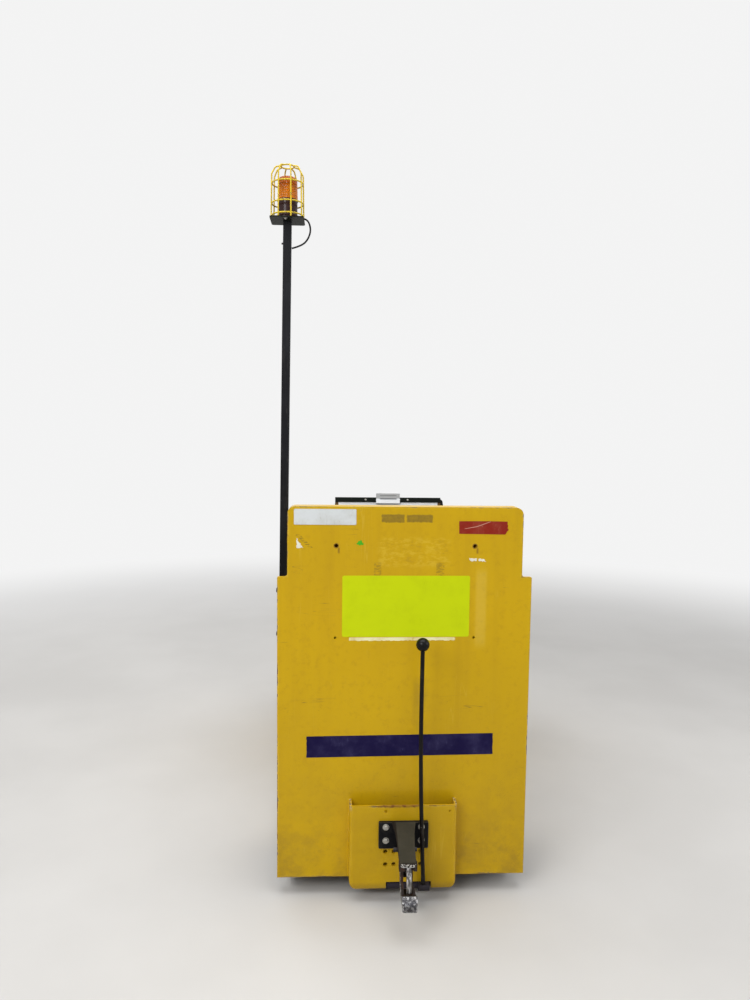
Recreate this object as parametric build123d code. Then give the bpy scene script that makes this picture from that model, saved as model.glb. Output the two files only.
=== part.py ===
"""Stand-up electric tow tractor, with its hitch, its beacon on a pole and its closed battery and drive bays.

Lengths are in millimetres. +X is the tractor's right, +Y its front and +Z up. While the pieces are made,
every depth y is measured forward from the outer face of the rear plate. The finished pieces are then moved
back together, so that the origin lies on the floor under the middle of the whole tractor.
"""

import os
from math import atan2, cos, degrees, hypot, radians, tan

from build123d import *

# Overall sizes
OVERALL_WIDTH = 818.0
BODY_LENGTH = 1700.0
HITCH_REACH = 270.0
GROUND_CLEARANCE = 62.0

# Sheet and plate thicknesses, and the gaps between pieces
PLATE = 12.0
SHEET = 6.0
THIN_SHEET = 5.0
SOFT_GAP = 0.3
SHAFT_GAP = 0.05
RUNNING_GAP = 5.0

# Rear plate
SHOULDER_Z = 1064.0
BACK_TOP_Z = 1289.0
SHOULDER_STEP = 32.0
TOP_CORNER_RADIUS = 25.0
NOTCH_RADIUS = 10.0
RIM_DEPTH = 57.0
RIM_BOTTOM_Z = 1070.0
BACKREST_BOLT_X = 222.0
BACKREST_BOLT_Z = 1164.0
PLATE_HOLE_X = 224.0
PLATE_HOLE_Z = 866.0
BOLT_HOLE_RADIUS = 6.0
SMALL_HOLE_RADIUS = 4.0

# Tower between the rear plate and the operator
TOWER_TOP_Z = 1262.0
TOWER_TOP_DEPTH = 62.0
TOWER_KNEE_DEPTH = 130.0
TOWER_KNEE_Z = 700.0
TOWER_FOOT_DEPTH = 330.0
TOWER_FOOT_Z = 440.0
PAD_MARGIN = 87.0
PAD_LENGTH = 470.0
PAD_THICKNESS = 55.0

# Side frame, which runs round the nose
FRAME_BOTTOM_Z = 65.0
FRAME_TOP_Z = 330.0
NOSE_RADIUS = 120.0
BUMPER_DEPTH = 12.0
BUMPER_Z = (150.0, 230.0)
BUMPER_MARGIN = 19.0

# Rear wheels and their axle
REAR_WHEEL_DIAMETER = 254.0
REAR_WHEEL_WIDTH = 100.0
REAR_RIM_DIAMETER = 196.0
REAR_AXLE_Y = 175.0
REAR_WHEEL_INSET = 66.0
STUB_DIAMETER = 40.0
ARCH_GAP = 13.0
WEB_GAP = 70.0
AXLE_TUBE_RADIUS = 32.0
WEB_FOOT_Z = 82.0

# Platform
PLATFORM_TOP_Z = 146.0
MAT_THICKNESS = 12.0
MAT_MARGIN = 32.0
MAT_CORNER = 30.0
MAT_RIB = 3.0
MAT_RIB_WIDTH = 26.0
MAT_RIB_PITCH = 55.0
PEDAL_INSET = 65.0
PEDAL_WIDTH = 180.0
PEDAL_LENGTH = 130.0
PEDAL_SETBACK = 150.0
PEDAL_HEIGHTS = (20.0, 38.0)
CHANNEL_SETBACK = 130.0
CHANNEL_WIDTH = 50.0
CHANNEL_HEIGHT = 45.0

# Bulkhead, battery bay and front wall
BAY_TOP_Z = 985.0
BAY_LENGTH = 376.0
BAY_FLANGE = 34.0
BATTERY_LENGTH = 360.0
BATTERY_SIDE_GAP = 5.0
BATTERY_HEIGHT = 780.0
BED_TOP_Z = 158.0
BED_CHANNEL_FOOT_Z = 95.0
BED_CHANNEL_WIDTH = 60.0
WALL_FOOT_Z = 90.0
GATE_THICKNESS = 8.0
GATE_TOP_Z = 935.0
GATE_GAP = 2.0
GATE_GROOVE_DEPTH = 3.0
HAND_SLOT = (140.0, 35.0)
COVER_LIP = 45.0
KNEE_PAD_MARGIN = 99.0
KNEE_PAD_Z = (430.0, 830.0)
KNEE_PAD_THICKNESS = 40.0

# Hinges of the battery cover and the drive hood
HINGE_RADIUS = 6.0
HINGE_PIN_RADIUS = 3.0
HINGE_KNUCKLE = 24.0
HINGE_INSET = 139.0
HINGE_SEAT = 28.0

# Drive bay and hood
DRIVE_BAY_LENGTH = 460.0
HOOD_SLOPE_LENGTH = 188.0
HOOD_SHOULDER_Z = 850.0
HOOD_NOSE_Z = 700.0
DRIVE_SETBACK = 268.0
LOUVRE_COUNT = 6
LOUVRE_WIDTH = 380.0
LOUVRE_PITCH = 26.0
LOUVRE_PROUD = 7.0
DRIVE_WHEEL_DIAMETER = 330.0
DRIVE_WHEEL_WIDTH = 124.0
DRIVE_RIM_DIAMETER = 240.0
DRIVE_SHAFT_DIAMETER = 50.0
MOUNT_PLATE_RISE = 94.0
TURNTABLE_RADIUS = 140.0
NECK_RADIUS = 110.0
MOTOR_RADIUS = 92.0
MOTOR_RISE = 254.0

# Console and steering handle
CONSOLE_FOOT_Z = 880.0
CONSOLE_TOP_Z = 1245.0
CONSOLE_TOP_WIDTH = 450.0
CONSOLE_MARGIN = 59.0
SHELF_Z = 1150.0
SHELF_REAR_Z = 1128.0
SHELF_DEPTH = 240.0
RISER_SETBACK = 60.0
RISER_LEAN = 8.0
STEERING_SETBACK = 195.0
COLUMN_RADIUS = 34.0
COLUMN_TOP_Z = 1165.0
HANDLE_SPAN = 250.0
HANDLE_Z = 1186.0
HANDLE_TUBE_RADIUS = 10.0
GRIP_RADIUS = 16.0
GRIP_GAP = 9.0
CONTROLS = ((-140.0, 80.0, 13.0, 9.0), (-190.0, 80.0, 20.0, 22.0), (140.0, 90.0, 14.0, 8.0))
DISPLAY_SIZE = (130.0, 56.0, 8.0)
CLIPBOARD_WIDTH = 444.0
CLIPBOARD_X = -6.0
CLIPBOARD_TOP_Z = 1252.0
CLIPBOARD_BAR = (20.0, 4.0)
CLIP_WIDTH = 100.0
CLIP_TOP_Z = 1271.0

# Hitch
BRACKET_WIDTH = 348.0
BRACKET_DEPTH = 52.0
BRACKET_Z = (50.0, 328.0)
BRACKET_NOTCH_X = (-54.0, 93.0)
BRACKET_NOTCH_TOP_Z = 72.0
BRACKET_WALL = 8.0
BRACKET_BEND = 14.0
HOLE_COLUMNS = (-57.0, -30.0, 30.0, 57.0)
HOLE_ROWS = (132.0, 175.0)
HITCH_HOLE_RADIUS = 7.0
RIM_HOLES = ((-57.0, 310.5, 5.0), (150.0, 309.0, 3.0))
MOUNT_WIDTH = 160.0
MOUNT_Z = (192.0, 279.0)
SHIELD_REAR_Z = 234.0
SHIELD_FRONT_Z = 281.0
SHIELD_REACH = 234.0
SHIELD_HALF_WIDTHS = ((-110.0, 30.0), (-165.0, 26.0))
SHIELD_WIDTHS = (76.0, 48.0)
ARM_WIDTH = 38.0
CHEEK_WIDTH = 56.0
NOSE_WIDTH = 47.0
HEAD_OFFSET_X = 3.5
SLOT_ENDS_Y = (-150.0, -241.0)
SLOT_WIDTH = 27.0
LATCH_WIDTH = 15.0
LATCH_PIVOT = (-205.0, 212.0)
LATCH_PIN_RADIUS = 7.0
LATCH_PIN_LENGTH = 44.0
RELEASE_PIVOT = (-38.0, 56.0)
RELEASE_BAR_RADIUS = 13.5
RELEASE_SHAFT_RADIUS = 5.0
CRANK_X = (50.0, 82.0)
LUG_THICKNESS = 8.0
BAR_GAP = 3.0
ROD_FOOT = (63.0, -92.0)
ROD_BOWS = ((57.5, -95.0, 200.0), (49.5, -98.0, 400.0), (45.5, -104.0, 620.0))
ROD_RADIUS = 6.5
KNOB_RADIUS = 21.0
KNOB_CENTRE = (46.0, -113.0, 875.0)

# Beacon on its pole
POLE_SIZE = 26.0
POLE_WALL = 2.5
POLE_Y = 75.0
POLE_INSET = 13.0
CLAMP_HEIGHTS = (40.0, 185.0)
CLAMP_SIZE = (40.0, 36.0)
POLE_FOOT_Z = 820.0
POLE_LEAN = 0.6
BEACON_PLATE_Z = 2181.0
BEACON_PLATE_SIZE = (106.0, 96.0, 4.0)
BEACON_RADIUS = 32.0
BEACON_BASE_HEIGHT = 59.0
LENS_HEIGHT = 69.0
CAGE_RADIUS = 52.0
CAGE_HEIGHT = 164.0
CAGE_SHOULDER = 26.0
CAGE_TOP_RING_RADIUS = 20.0
CAGE_WIRE = 4.6
CAGE_WIRES = 8
CAGE_FIRST_ANGLE = 15.0
CAGE_HOOPS = (11.0, 48.0, 109.0)
CABLE_DIAMETER = 5.5
CABLE_EXIT_Z = 5.5
GLAND_REACH = 10.0

# Places worked out from the sizes above
HALF_WIDTH = OVERALL_WIDTH / 2
HALF_UPPER = HALF_WIDTH - SHOULDER_STEP
INNER_HALF = HALF_WIDTH - PLATE
TOWER_HALF = HALF_UPPER - THIN_SHEET
REAR_WHEEL_X = INNER_HALF - REAR_WHEEL_INSET
WEB_X = REAR_WHEEL_X - WEB_GAP
NOSE_Y = BODY_LENGTH - BUMPER_DEPTH
ORIGIN_SHIFT = -(BODY_LENGTH - HITCH_REACH) / 2
RISER_PLATE_Y = TOWER_FOOT_DEPTH
DECK_TOP_Z = FRAME_TOP_Z + SHEET
REAR_AXLE_Z = REAR_WHEEL_DIAMETER / 2
BAY_FRONT_Y = NOSE_Y - DRIVE_BAY_LENGTH - SHEET
BULKHEAD_Y = BAY_FRONT_Y - BAY_LENGTH - SHEET
COVER_HINGE = (BULKHEAD_Y + SHEET + HINGE_SEAT, BAY_TOP_Z + HINGE_RADIUS)
HOOD_HINGE = (BAY_FRONT_Y + SHEET + HINGE_SEAT, BAY_TOP_Z + HINGE_RADIUS)
COVER_TOP_Z = BAY_TOP_Z + SHEET
HINGE_X = (HINGE_INSET - HALF_WIDTH, 0.0, HALF_WIDTH - HINGE_INSET)
PEDAL_END_X = INNER_HALF - MAT_MARGIN - PEDAL_INSET
PEDAL_X = (PEDAL_END_X - PEDAL_WIDTH, PEDAL_END_X)
PEDAL_Y = (BULKHEAD_Y - PEDAL_SETBACK - PEDAL_LENGTH, BULKHEAD_Y - PEDAL_SETBACK)
SHELF_REAR_Y = BULKHEAD_Y - SHELF_DEPTH
RISER_Y = BULKHEAD_Y - RISER_SETBACK
STEERING_Y = BULKHEAD_Y - STEERING_SETBACK
CONSOLE_WIDTH = OVERALL_WIDTH - 2 * CONSOLE_MARGIN
GRIP_LENGTH = HANDLE_SPAN / 2 - COLUMN_RADIUS - GRIP_GAP
DRIVE_Y = NOSE_Y - DRIVE_SETBACK
HOOD_SHOULDER_Y = NOSE_Y - HOOD_SLOPE_LENGTH
DRIVE_AXLE_Z = DRIVE_WHEEL_DIAMETER / 2
MOUNT_PLATE_Z = DRIVE_WHEEL_DIAMETER + MOUNT_PLATE_RISE
MOUNT_PLATE_TOP_Z = MOUNT_PLATE_Z + PLATE
MOTOR_TOP_Z = MOUNT_PLATE_TOP_Z + MOTOR_RISE
BEACON_BASE_Z = BEACON_PLATE_Z + BEACON_PLATE_SIZE[2]
LENS_Z = BEACON_BASE_Z + BEACON_BASE_HEIGHT
POLE_FOOT_X = POLE_INSET - HALF_WIDTH
MOUNT_FACE_Y = -BRACKET_DEPTH - PLATE


def outline(points):
    """A face from corners (u, v), or (u, v, radius) where the corner is rounded."""
    face = make_face(Polyline(*[(p[0], p[1]) for p in points], close=True))
    for radius in sorted({p[2] for p in points if len(p) == 3}):
        rounded = [p for p in points if len(p) == 3 and p[2] == radius]
        corners = [
            v for v in face.vertices() if any(hypot(v.X - p[0], v.Y - p[1]) < 0.001 for p in rounded)
        ]
        face = fillet(corners, radius)
    return face


def along_x(points, x0, x1):
    """A prism across the tractor, from corners (y, z)."""
    return extrude(Plane.YZ.offset(x0) * outline(points), x1 - x0)


def along_y(points, y0, y1):
    """A prism along the tractor, from corners (x, z)."""
    return extrude(Plane.XZ.offset(-y1) * outline(points), y1 - y0)


def along_z(points, z0, z1):
    """An upright prism, from corners (x, y)."""
    return extrude(Plane.XY.offset(z0) * outline(points), z1 - z0)


def block(x, y, z):
    """A block between two limits on each axis."""
    size = (x[1] - x[0], y[1] - y[0], z[1] - z[0])
    return Pos((x[0] + x[1]) / 2, (y[0] + y[1]) / 2, (z[0] + z[1]) / 2) * Box(*size)


def shaft_x(radius, x0, x1, y, z):
    return Pos((x0 + x1) / 2, y, z) * Rot(0, 90, 0) * Cylinder(radius, abs(x1 - x0))


def shaft_y(radius, x, y0, y1, z):
    return Pos(x, (y0 + y1) / 2, z) * Rot(90, 0, 0) * Cylinder(radius, abs(y1 - y0))


def arc_radii(route):
    """The largest arcs that the corners of a route leave room for."""
    runs = [Vector(*b) - Vector(*a) for a, b in zip(route, route[1:])]
    radii = []
    for before, after in zip(runs, runs[1:]):
        half_turn = radians(before.get_angle(after) / 2)
        radii.append(0.45 * min(before.length, after.length) / tan(half_turn))
    return radii


def shaft_z(radius, x, y, z0, z1):
    return Pos(x, y, (z0 + z1) / 2) * Cylinder(radius, abs(z1 - z0))


def mirrored(points):
    """Corners of a right-hand half outline, from bottom to top, completed with the left half."""
    return list(points) + [(-p[0], *p[1:]) for p in reversed(points)]


# Rear plate and tower


def rear_plate():
    """The heavy back plate with its two shoulders, and the rim folded forward round its upper part."""
    half_outline = [
        (HALF_WIDTH, GROUND_CLEARANCE),
        (HALF_WIDTH, SHOULDER_Z, 4.0),
        (HALF_UPPER, SHOULDER_Z, NOTCH_RADIUS),
        (HALF_UPPER, BACK_TOP_Z, TOP_CORNER_RADIUS),
    ]
    plate = along_y(mirrored(half_outline), 0, PLATE)
    rim_outline = [(HALF_UPPER, RIM_BOTTOM_Z), (HALF_UPPER, BACK_TOP_Z, TOP_CORNER_RADIUS)]
    inner_half = HALF_UPPER - THIN_SHEET
    inner_radius = TOP_CORNER_RADIUS - THIN_SHEET
    hollow_outline = [(inner_half, RIM_BOTTOM_Z), (inner_half, BACK_TOP_Z - THIN_SHEET, inner_radius)]
    rim = along_y(mirrored(rim_outline), PLATE, RIM_DEPTH)
    rim -= along_y(mirrored(hollow_outline), PLATE, RIM_DEPTH)
    plate += rim
    for x, z, radius in [
        (BACKREST_BOLT_X, BACKREST_BOLT_Z, BOLT_HOLE_RADIUS),
        (PLATE_HOLE_X, PLATE_HOLE_Z, SMALL_HOLE_RADIUS),
    ]:
        for side in (-1, 1):
            plate -= shaft_y(radius, side * x, 0, PLATE, z)
    return plate


def tower_outline(inset=0.0):
    """Side view of the tower, from the deck up to the backrest's top, drawn in by an inset."""
    return [
        (PLATE, DECK_TOP_Z),
        (TOWER_FOOT_DEPTH - inset, DECK_TOP_Z),
        (TOWER_FOOT_DEPTH - inset, TOWER_FOOT_Z, 40.0),
        (TOWER_KNEE_DEPTH - inset, TOWER_KNEE_Z, 80.0),
        (TOWER_TOP_DEPTH - inset, TOWER_TOP_Z),
        (PLATE, TOWER_TOP_Z),
    ]


def tower_sides():
    """The two side sheets of the tower."""
    inner = TOWER_HALF - SHEET
    profile = tower_outline()
    return Compound(children=[along_x(profile, -TOWER_HALF, -inner), along_x(profile, inner, TOWER_HALF)])


def backrest_panel():
    """The folded sheet that closes the tower towards the operator."""
    half = TOWER_HALF - SHEET
    profile = outline(tower_outline())
    sheet = profile - offset(profile, -THIN_SHEET)
    panel = extrude(Plane.YZ.offset(-half) * sheet, 2 * half)
    return panel - block((-half, half), (0, TOWER_TOP_DEPTH - 2 * THIN_SHEET), (0, BACK_TOP_Z))


def backrest_plane():
    """The plane of the tower's slanted front, half way up, facing the operator."""
    rise = TOWER_TOP_Z - TOWER_KNEE_Z
    run = TOWER_TOP_DEPTH - TOWER_KNEE_DEPTH
    length = hypot(rise, run)
    normal = (0, rise / length, -run / length)
    middle = (0, TOWER_KNEE_DEPTH + run * 0.53, TOWER_KNEE_Z + rise * 0.53)
    return Plane(origin=middle, x_dir=(1, 0, 0), z_dir=normal)


def backrest_pad():
    width = 2 * (HALF_UPPER - PAD_MARGIN)
    face = backrest_plane().offset(SOFT_GAP) * RectangleRounded(width, PAD_LENGTH, 40.0)
    pad = extrude(face, PAD_THICKNESS)
    front = pad.faces().sort_by(Axis.Y)[-1]
    return fillet(front.edges(), 18.0)


# Frame, axle and wheels


def frame_plan(inset):
    """Plan view of the frame's outer or inner line, rounded at the nose."""
    half = HALF_WIDTH - inset
    nose = NOSE_Y - inset
    radius = NOSE_RADIUS - inset
    return [(-half, PLATE), (half, PLATE), (half, nose, radius), (-half, nose, radius)]


def side_frame():
    """Both side members and the nose in one bent plate, low beside the platform and cut for the wheels."""
    frame = along_z(frame_plan(0), FRAME_BOTTOM_Z, FRAME_TOP_Z)
    frame -= along_z(frame_plan(PLATE), FRAME_BOTTOM_Z, FRAME_TOP_Z)
    step = [
        (RISER_PLATE_Y + SHEET, FRAME_TOP_Z + 60),
        (RISER_PLATE_Y + SHEET, PLATFORM_TOP_Z, 30.0),
        (BULKHEAD_Y, PLATFORM_TOP_Z, 30.0),
        (BULKHEAD_Y, FRAME_TOP_Z + 60),
    ]
    frame -= along_x(step, -HALF_WIDTH, HALF_WIDTH)
    arch = REAR_WHEEL_DIAMETER / 2 + ARCH_GAP
    frame -= shaft_x(arch, -HALF_WIDTH, HALF_WIDTH, REAR_AXLE_Y, REAR_AXLE_Z)
    return frame


def bumper():
    """The rubber strip round the nose."""
    strip = along_z(frame_plan(-BUMPER_DEPTH), *BUMPER_Z) - along_z(frame_plan(0), *BUMPER_Z)
    half = HALF_WIDTH - BUMPER_MARGIN
    return strip & block((-half, half), (NOSE_Y - NOSE_RADIUS, BODY_LENGTH), BUMPER_Z)


def wheel_deck():
    """The folded sheet over the rear wheels, with the riser in front of them."""
    deck = [
        (PLATE, FRAME_TOP_Z),
        (RISER_PLATE_Y + SHEET, FRAME_TOP_Z),
        (RISER_PLATE_Y + SHEET, DECK_TOP_Z, 4.0),
        (PLATE, DECK_TOP_Z),
    ]
    riser = block(
        (-INNER_HALF, INNER_HALF),
        (RISER_PLATE_Y, RISER_PLATE_Y + SHEET),
        (WEB_FOOT_Z, FRAME_TOP_Z),
    )
    return along_x(deck, -HALF_WIDTH, HALF_WIDTH) + riser


def rear_axle():
    """Two welded webs, the tube between them and the stub axles that carry the rear wheels."""
    web = [
        (PLATE, WEB_FOOT_Z),
        (RISER_PLATE_Y, WEB_FOOT_Z),
        (RISER_PLATE_Y, FRAME_TOP_Z),
        (PLATE, FRAME_TOP_Z),
    ]
    half_web = PLATE / 2
    axle = shaft_x(AXLE_TUBE_RADIUS, -WEB_X, WEB_X, REAR_AXLE_Y, REAR_AXLE_Z)
    for side in (-1, 1):
        middle = side * WEB_X
        axle += along_x(web, middle - half_web, middle + half_web)
        shoulder = side * (REAR_WHEEL_X - REAR_WHEEL_WIDTH / 2 - 2.0)
        stub_end = side * (REAR_WHEEL_X + REAR_WHEEL_WIDTH / 2 + 3.0)
        axle += shaft_x(STUB_DIAMETER / 2 + 10.0, *sorted((middle, shoulder)), REAR_AXLE_Y, REAR_AXLE_Z)
        axle += shaft_x(STUB_DIAMETER / 2, *sorted((shoulder, stub_end)), REAR_AXLE_Y, REAR_AXLE_Z)
    return axle


def wheel(x, y, z, width, rim_radius, bore_radius, web_width, boss_radius):
    """A cast wheel about the X axis: a rim, a web and a boss, turned in one piece."""
    half, web = width / 2, web_width / 2
    rim_inner = rim_radius - 12.0
    profile = [
        (bore_radius, -half),
        (boss_radius, -half),
        (boss_radius + 4, -web),
        (rim_inner - 4, -web),
        (rim_inner, -half),
        (rim_radius, -half),
        (rim_radius, half),
        (rim_inner, half),
        (rim_inner - 4, web),
        (boss_radius + 4, web),
        (boss_radius, half),
        (bore_radius, half),
    ]
    turned = revolve(Plane.XZ * outline(profile), Axis.Z)
    return Pos(x, y, z) * Rot(0, 90, 0) * turned


def tyre(x, y, z, width, radius, rim_radius, shoulder):
    """A solid tyre about the X axis with rounded shoulders."""
    half = width / 2
    profile = [(rim_radius, -half), (radius, -half, shoulder), (radius, half, shoulder), (rim_radius, half)]
    return Pos(x, y, z) * Rot(0, 90, 0) * revolve(Plane.XZ * outline(profile), Axis.Z)


def rear_wheel(side):
    bore = STUB_DIAMETER / 2 + SHAFT_GAP
    place = (side * REAR_WHEEL_X, REAR_AXLE_Y, REAR_AXLE_Z)
    return wheel(*place, REAR_WHEEL_WIDTH, REAR_RIM_DIAMETER / 2, bore, 40.0, 38.0)


def rear_tyre(side):
    place = (side * REAR_WHEEL_X, REAR_AXLE_Y, REAR_AXLE_Z)
    return tyre(*place, REAR_WHEEL_WIDTH, REAR_WHEEL_DIAMETER / 2, REAR_RIM_DIAMETER / 2, 9.0)


# Platform


def platform_floor():
    """The floor plate with two stiffening channels under it."""
    floor = block(
        (-INNER_HALF, INNER_HALF),
        (RISER_PLATE_Y + SHEET, BULKHEAD_Y),
        (PLATFORM_TOP_Z - SHEET, PLATFORM_TOP_Z),
    )
    half_channel = CHANNEL_WIDTH / 2
    top = PLATFORM_TOP_Z - SHEET
    for y in (RISER_PLATE_Y + CHANNEL_SETBACK, BULKHEAD_Y - CHANNEL_SETBACK):
        span = (y - half_channel, y + half_channel)
        channel = block((-INNER_HALF, INNER_HALF), span, (top - CHANNEL_HEIGHT, top))
        span = (y - half_channel + SHEET, y + half_channel - SHEET)
        hollow = block((-INNER_HALF, INNER_HALF), span, (top - CHANNEL_HEIGHT + SHEET, top))
        floor += channel - hollow
    return floor


def floor_mat():
    """The rubber mat, ribbed along its length and cut out round the pedal."""
    rear, front = RISER_PLATE_Y + SHEET + 12.0, BULKHEAD_Y - KNEE_PAD_THICKNESS - 15.0
    half = INNER_HALF - MAT_MARGIN
    corner = MAT_CORNER
    plan = [
        (-half, rear, corner),
        (half, rear, corner),
        (half, front, corner),
        (-half, front, corner),
    ]
    foot = PLATFORM_TOP_Z + SOFT_GAP
    mat = along_z(plan, foot, foot + MAT_THICKNESS - MAT_RIB)
    span = 2 * (half - corner)
    pitches = round(span / MAT_RIB_PITCH)
    for index in range(pitches + 1):
        x = -half + corner + index * span / pitches
        mat += block(
            (x - MAT_RIB_WIDTH / 2, x + MAT_RIB_WIDTH / 2),
            (rear + corner, front - corner),
            (foot, foot + MAT_THICKNESS),
        )
    margin = RUNNING_GAP + 1.0
    return mat - block(
        (PEDAL_X[0] - margin, PEDAL_X[1] + margin),
        (PEDAL_Y[0] - margin, PEDAL_Y[1] + margin),
        (foot, foot + MAT_THICKNESS),
    )


def foot_pedal():
    """The low wedge of the brake pedal in the floor."""
    foot = PLATFORM_TOP_Z + SOFT_GAP
    wedge = [
        (PEDAL_Y[0], foot),
        (PEDAL_Y[1], foot),
        (PEDAL_Y[1], foot + PEDAL_HEIGHTS[1], 8.0),
        (PEDAL_Y[0], foot + PEDAL_HEIGHTS[0], 6.0),
    ]
    return along_x(wedge, *PEDAL_X)


# Bulkhead, battery bay and hinges


def hinge_fixed(hinge, wall_y):
    """Seat strip, outer knuckles and pins of a row of hinges, on top of a bay wall."""
    y, z = hinge
    seat_end = y - HINGE_RADIUS + 4.0
    parts = block((-HALF_WIDTH, HALF_WIDTH), (wall_y, seat_end), (BAY_TOP_Z - SHEET, BAY_TOP_Z))
    for x in HINGE_X:
        for side in (-1, 1):
            inner = x + side * (HINGE_KNUCKLE / 2 + SOFT_GAP)
            outer = inner + side * HINGE_KNUCKLE
            parts += shaft_x(HINGE_RADIUS, *sorted((inner, outer)), y, z)
            limits = tuple(sorted((inner, outer)))
            parts += block(limits, (wall_y + 10.0, y), (BAY_TOP_Z, BAY_TOP_Z + 3.0))
        parts += shaft_x(HINGE_PIN_RADIUS, x - HINGE_KNUCKLE, x + HINGE_KNUCKLE, y, z)
    return parts


def hinge_moving(hinge):
    """Middle knuckles and leaves that are welded on the swinging panel."""
    y, z = hinge
    parts = []
    for x in HINGE_X:
        limits = (x - HINGE_KNUCKLE / 2, x + HINGE_KNUCKLE / 2)
        knuckle = shaft_x(HINGE_RADIUS, *limits, y, z)
        knuckle += block(limits, (y, y + 34.0), (z, z + 3.0))
        parts.append(knuckle - shaft_x(HINGE_PIN_RADIUS + SHAFT_GAP, *limits, y, z))
    return parts


def bay_wall(wall_y, flange_side, hinge):
    """A wall of the battery bay: a sheet with folded side edges and a hinge seat along its top."""
    half_outline = [
        (INNER_HALF, BED_TOP_Z),
        (INNER_HALF, FRAME_TOP_Z),
        (HALF_WIDTH, FRAME_TOP_Z),
        (HALF_WIDTH, BAY_TOP_Z),
    ]
    wall = along_y(mirrored(half_outline), wall_y, wall_y + SHEET)
    flange = (wall_y + SHEET, wall_y + SHEET + BAY_FLANGE)
    if flange_side < 0:
        flange = (wall_y - BAY_FLANGE, wall_y)
    for side in (-1, 1):
        edge = tuple(sorted((side * HALF_WIDTH, side * (HALF_WIDTH - SHEET))))
        wall += block(edge, flange, (FRAME_TOP_Z, BAY_TOP_Z))
    return wall + hinge_fixed(hinge, wall_y)


def bulkhead():
    """The wall between the operator and the battery, down to the platform."""
    wall = bay_wall(BULKHEAD_Y, 1, COVER_HINGE)
    foot = block((-INNER_HALF, INNER_HALF), (BULKHEAD_Y, BULKHEAD_Y + SHEET), (WALL_FOOT_Z, BED_TOP_Z))
    return wall + foot


def front_wall():
    wall = bay_wall(BAY_FRONT_Y, -1, HOOD_HINGE)
    foot = block((-INNER_HALF, INNER_HALF), (BAY_FRONT_Y, BAY_FRONT_Y + SHEET), (WALL_FOOT_Z, BED_TOP_Z))
    return wall + foot


def battery_bed():
    """The floor of the bay on two channels, between the side members."""
    rear = BULKHEAD_Y + SHEET
    bed = block((-INNER_HALF, INNER_HALF), (rear, BAY_FRONT_Y), (BED_TOP_Z - SHEET, BED_TOP_Z))
    half_channel = BED_CHANNEL_WIDTH / 2
    for y in (rear + BED_CHANNEL_WIDTH, BAY_FRONT_Y - BED_CHANNEL_WIDTH):
        span = (y - half_channel, y + half_channel)
        bed += block((-INNER_HALF, INNER_HALF), span, (BED_CHANNEL_FOOT_Z, BED_TOP_Z - SHEET))
    return bed


def battery():
    """The traction battery in its steel case, as one block."""
    middle = BULKHEAD_Y + SHEET + BAY_LENGTH / 2
    half = INNER_HALF - BATTERY_SIDE_GAP
    ends = (middle - BATTERY_LENGTH / 2, middle + BATTERY_LENGTH / 2)
    return block((-half, half), ends, (BED_TOP_Z, BED_TOP_Z + BATTERY_HEIGHT))


def side_gate(side):
    """The lift-out steel gate beside the battery, with a hand slot and two pressed stiffeners."""
    rear = BULKHEAD_Y + SHEET + BAY_FLANGE + GATE_GAP
    front = BAY_FRONT_Y - BAY_FLANGE - GATE_GAP
    foot = FRAME_TOP_Z + SOFT_GAP
    face = [(rear, foot, 8.0), (front, foot, 8.0), (front, GATE_TOP_Z, 12.0), (rear, GATE_TOP_Z, 12.0)]
    outer = side * HALF_WIDTH
    inner = side * (HALF_WIDTH - GATE_THICKNESS)
    gate = along_x(face, *sorted((outer, inner)))
    middle = (rear + front) / 2
    half_slot, slot_top = HAND_SLOT[0] / 2, GATE_TOP_Z - 50.0
    slot_foot, slot_corner = slot_top - HAND_SLOT[1], HAND_SLOT[1] / 2 - 0.5
    slot = [
        (middle - half_slot, slot_foot, slot_corner),
        (middle + half_slot, slot_foot, slot_corner),
        (middle + half_slot, slot_top, slot_corner),
        (middle - half_slot, slot_top, slot_corner),
    ]
    gate -= along_x(slot, *sorted((outer, inner)))
    margin, height, pitch, corner = 35.0, 60.0, 180.0, 12.0
    for z in (foot + 150.0, foot + 150.0 + pitch):
        groove = [
            (rear + margin, z, corner),
            (front - margin, z, corner),
            (front - margin, z + height, corner),
            (rear + margin, z + height, corner),
        ]
        gate -= along_x(groove, *sorted((outer, outer - side * GATE_GROOVE_DEPTH)))
    return gate


def battery_cover():
    """The steel lid of the battery bay, with side lips and its hinge leaves."""
    hinge_y, _ = COVER_HINGE
    rear, front = hinge_y + HINGE_RADIUS + 1.0, BAY_FRONT_Y + 3.0
    corner = 8.0
    plan = [
        (-HALF_WIDTH, rear),
        (HALF_WIDTH, rear),
        (HALF_WIDTH, front, corner),
        (-HALF_WIDTH, front, corner),
    ]
    cover = along_z(plan, BAY_TOP_Z + SOFT_GAP, COVER_TOP_Z)
    lip_rear = BULKHEAD_Y + SHEET + BAY_FLANGE + RUNNING_GAP
    lip_front = BAY_FRONT_Y - BAY_FLANGE - 20.0
    for side in (-1, 1):
        edge = tuple(sorted((side * HALF_WIDTH, side * (HALF_WIDTH - THIN_SHEET))))
        cover += block(edge, (lip_rear, lip_front), (BAY_TOP_Z - COVER_LIP, BAY_TOP_Z + SOFT_GAP))
    for knuckle in hinge_moving(COVER_HINGE):
        cover += knuckle
    return cover


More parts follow.
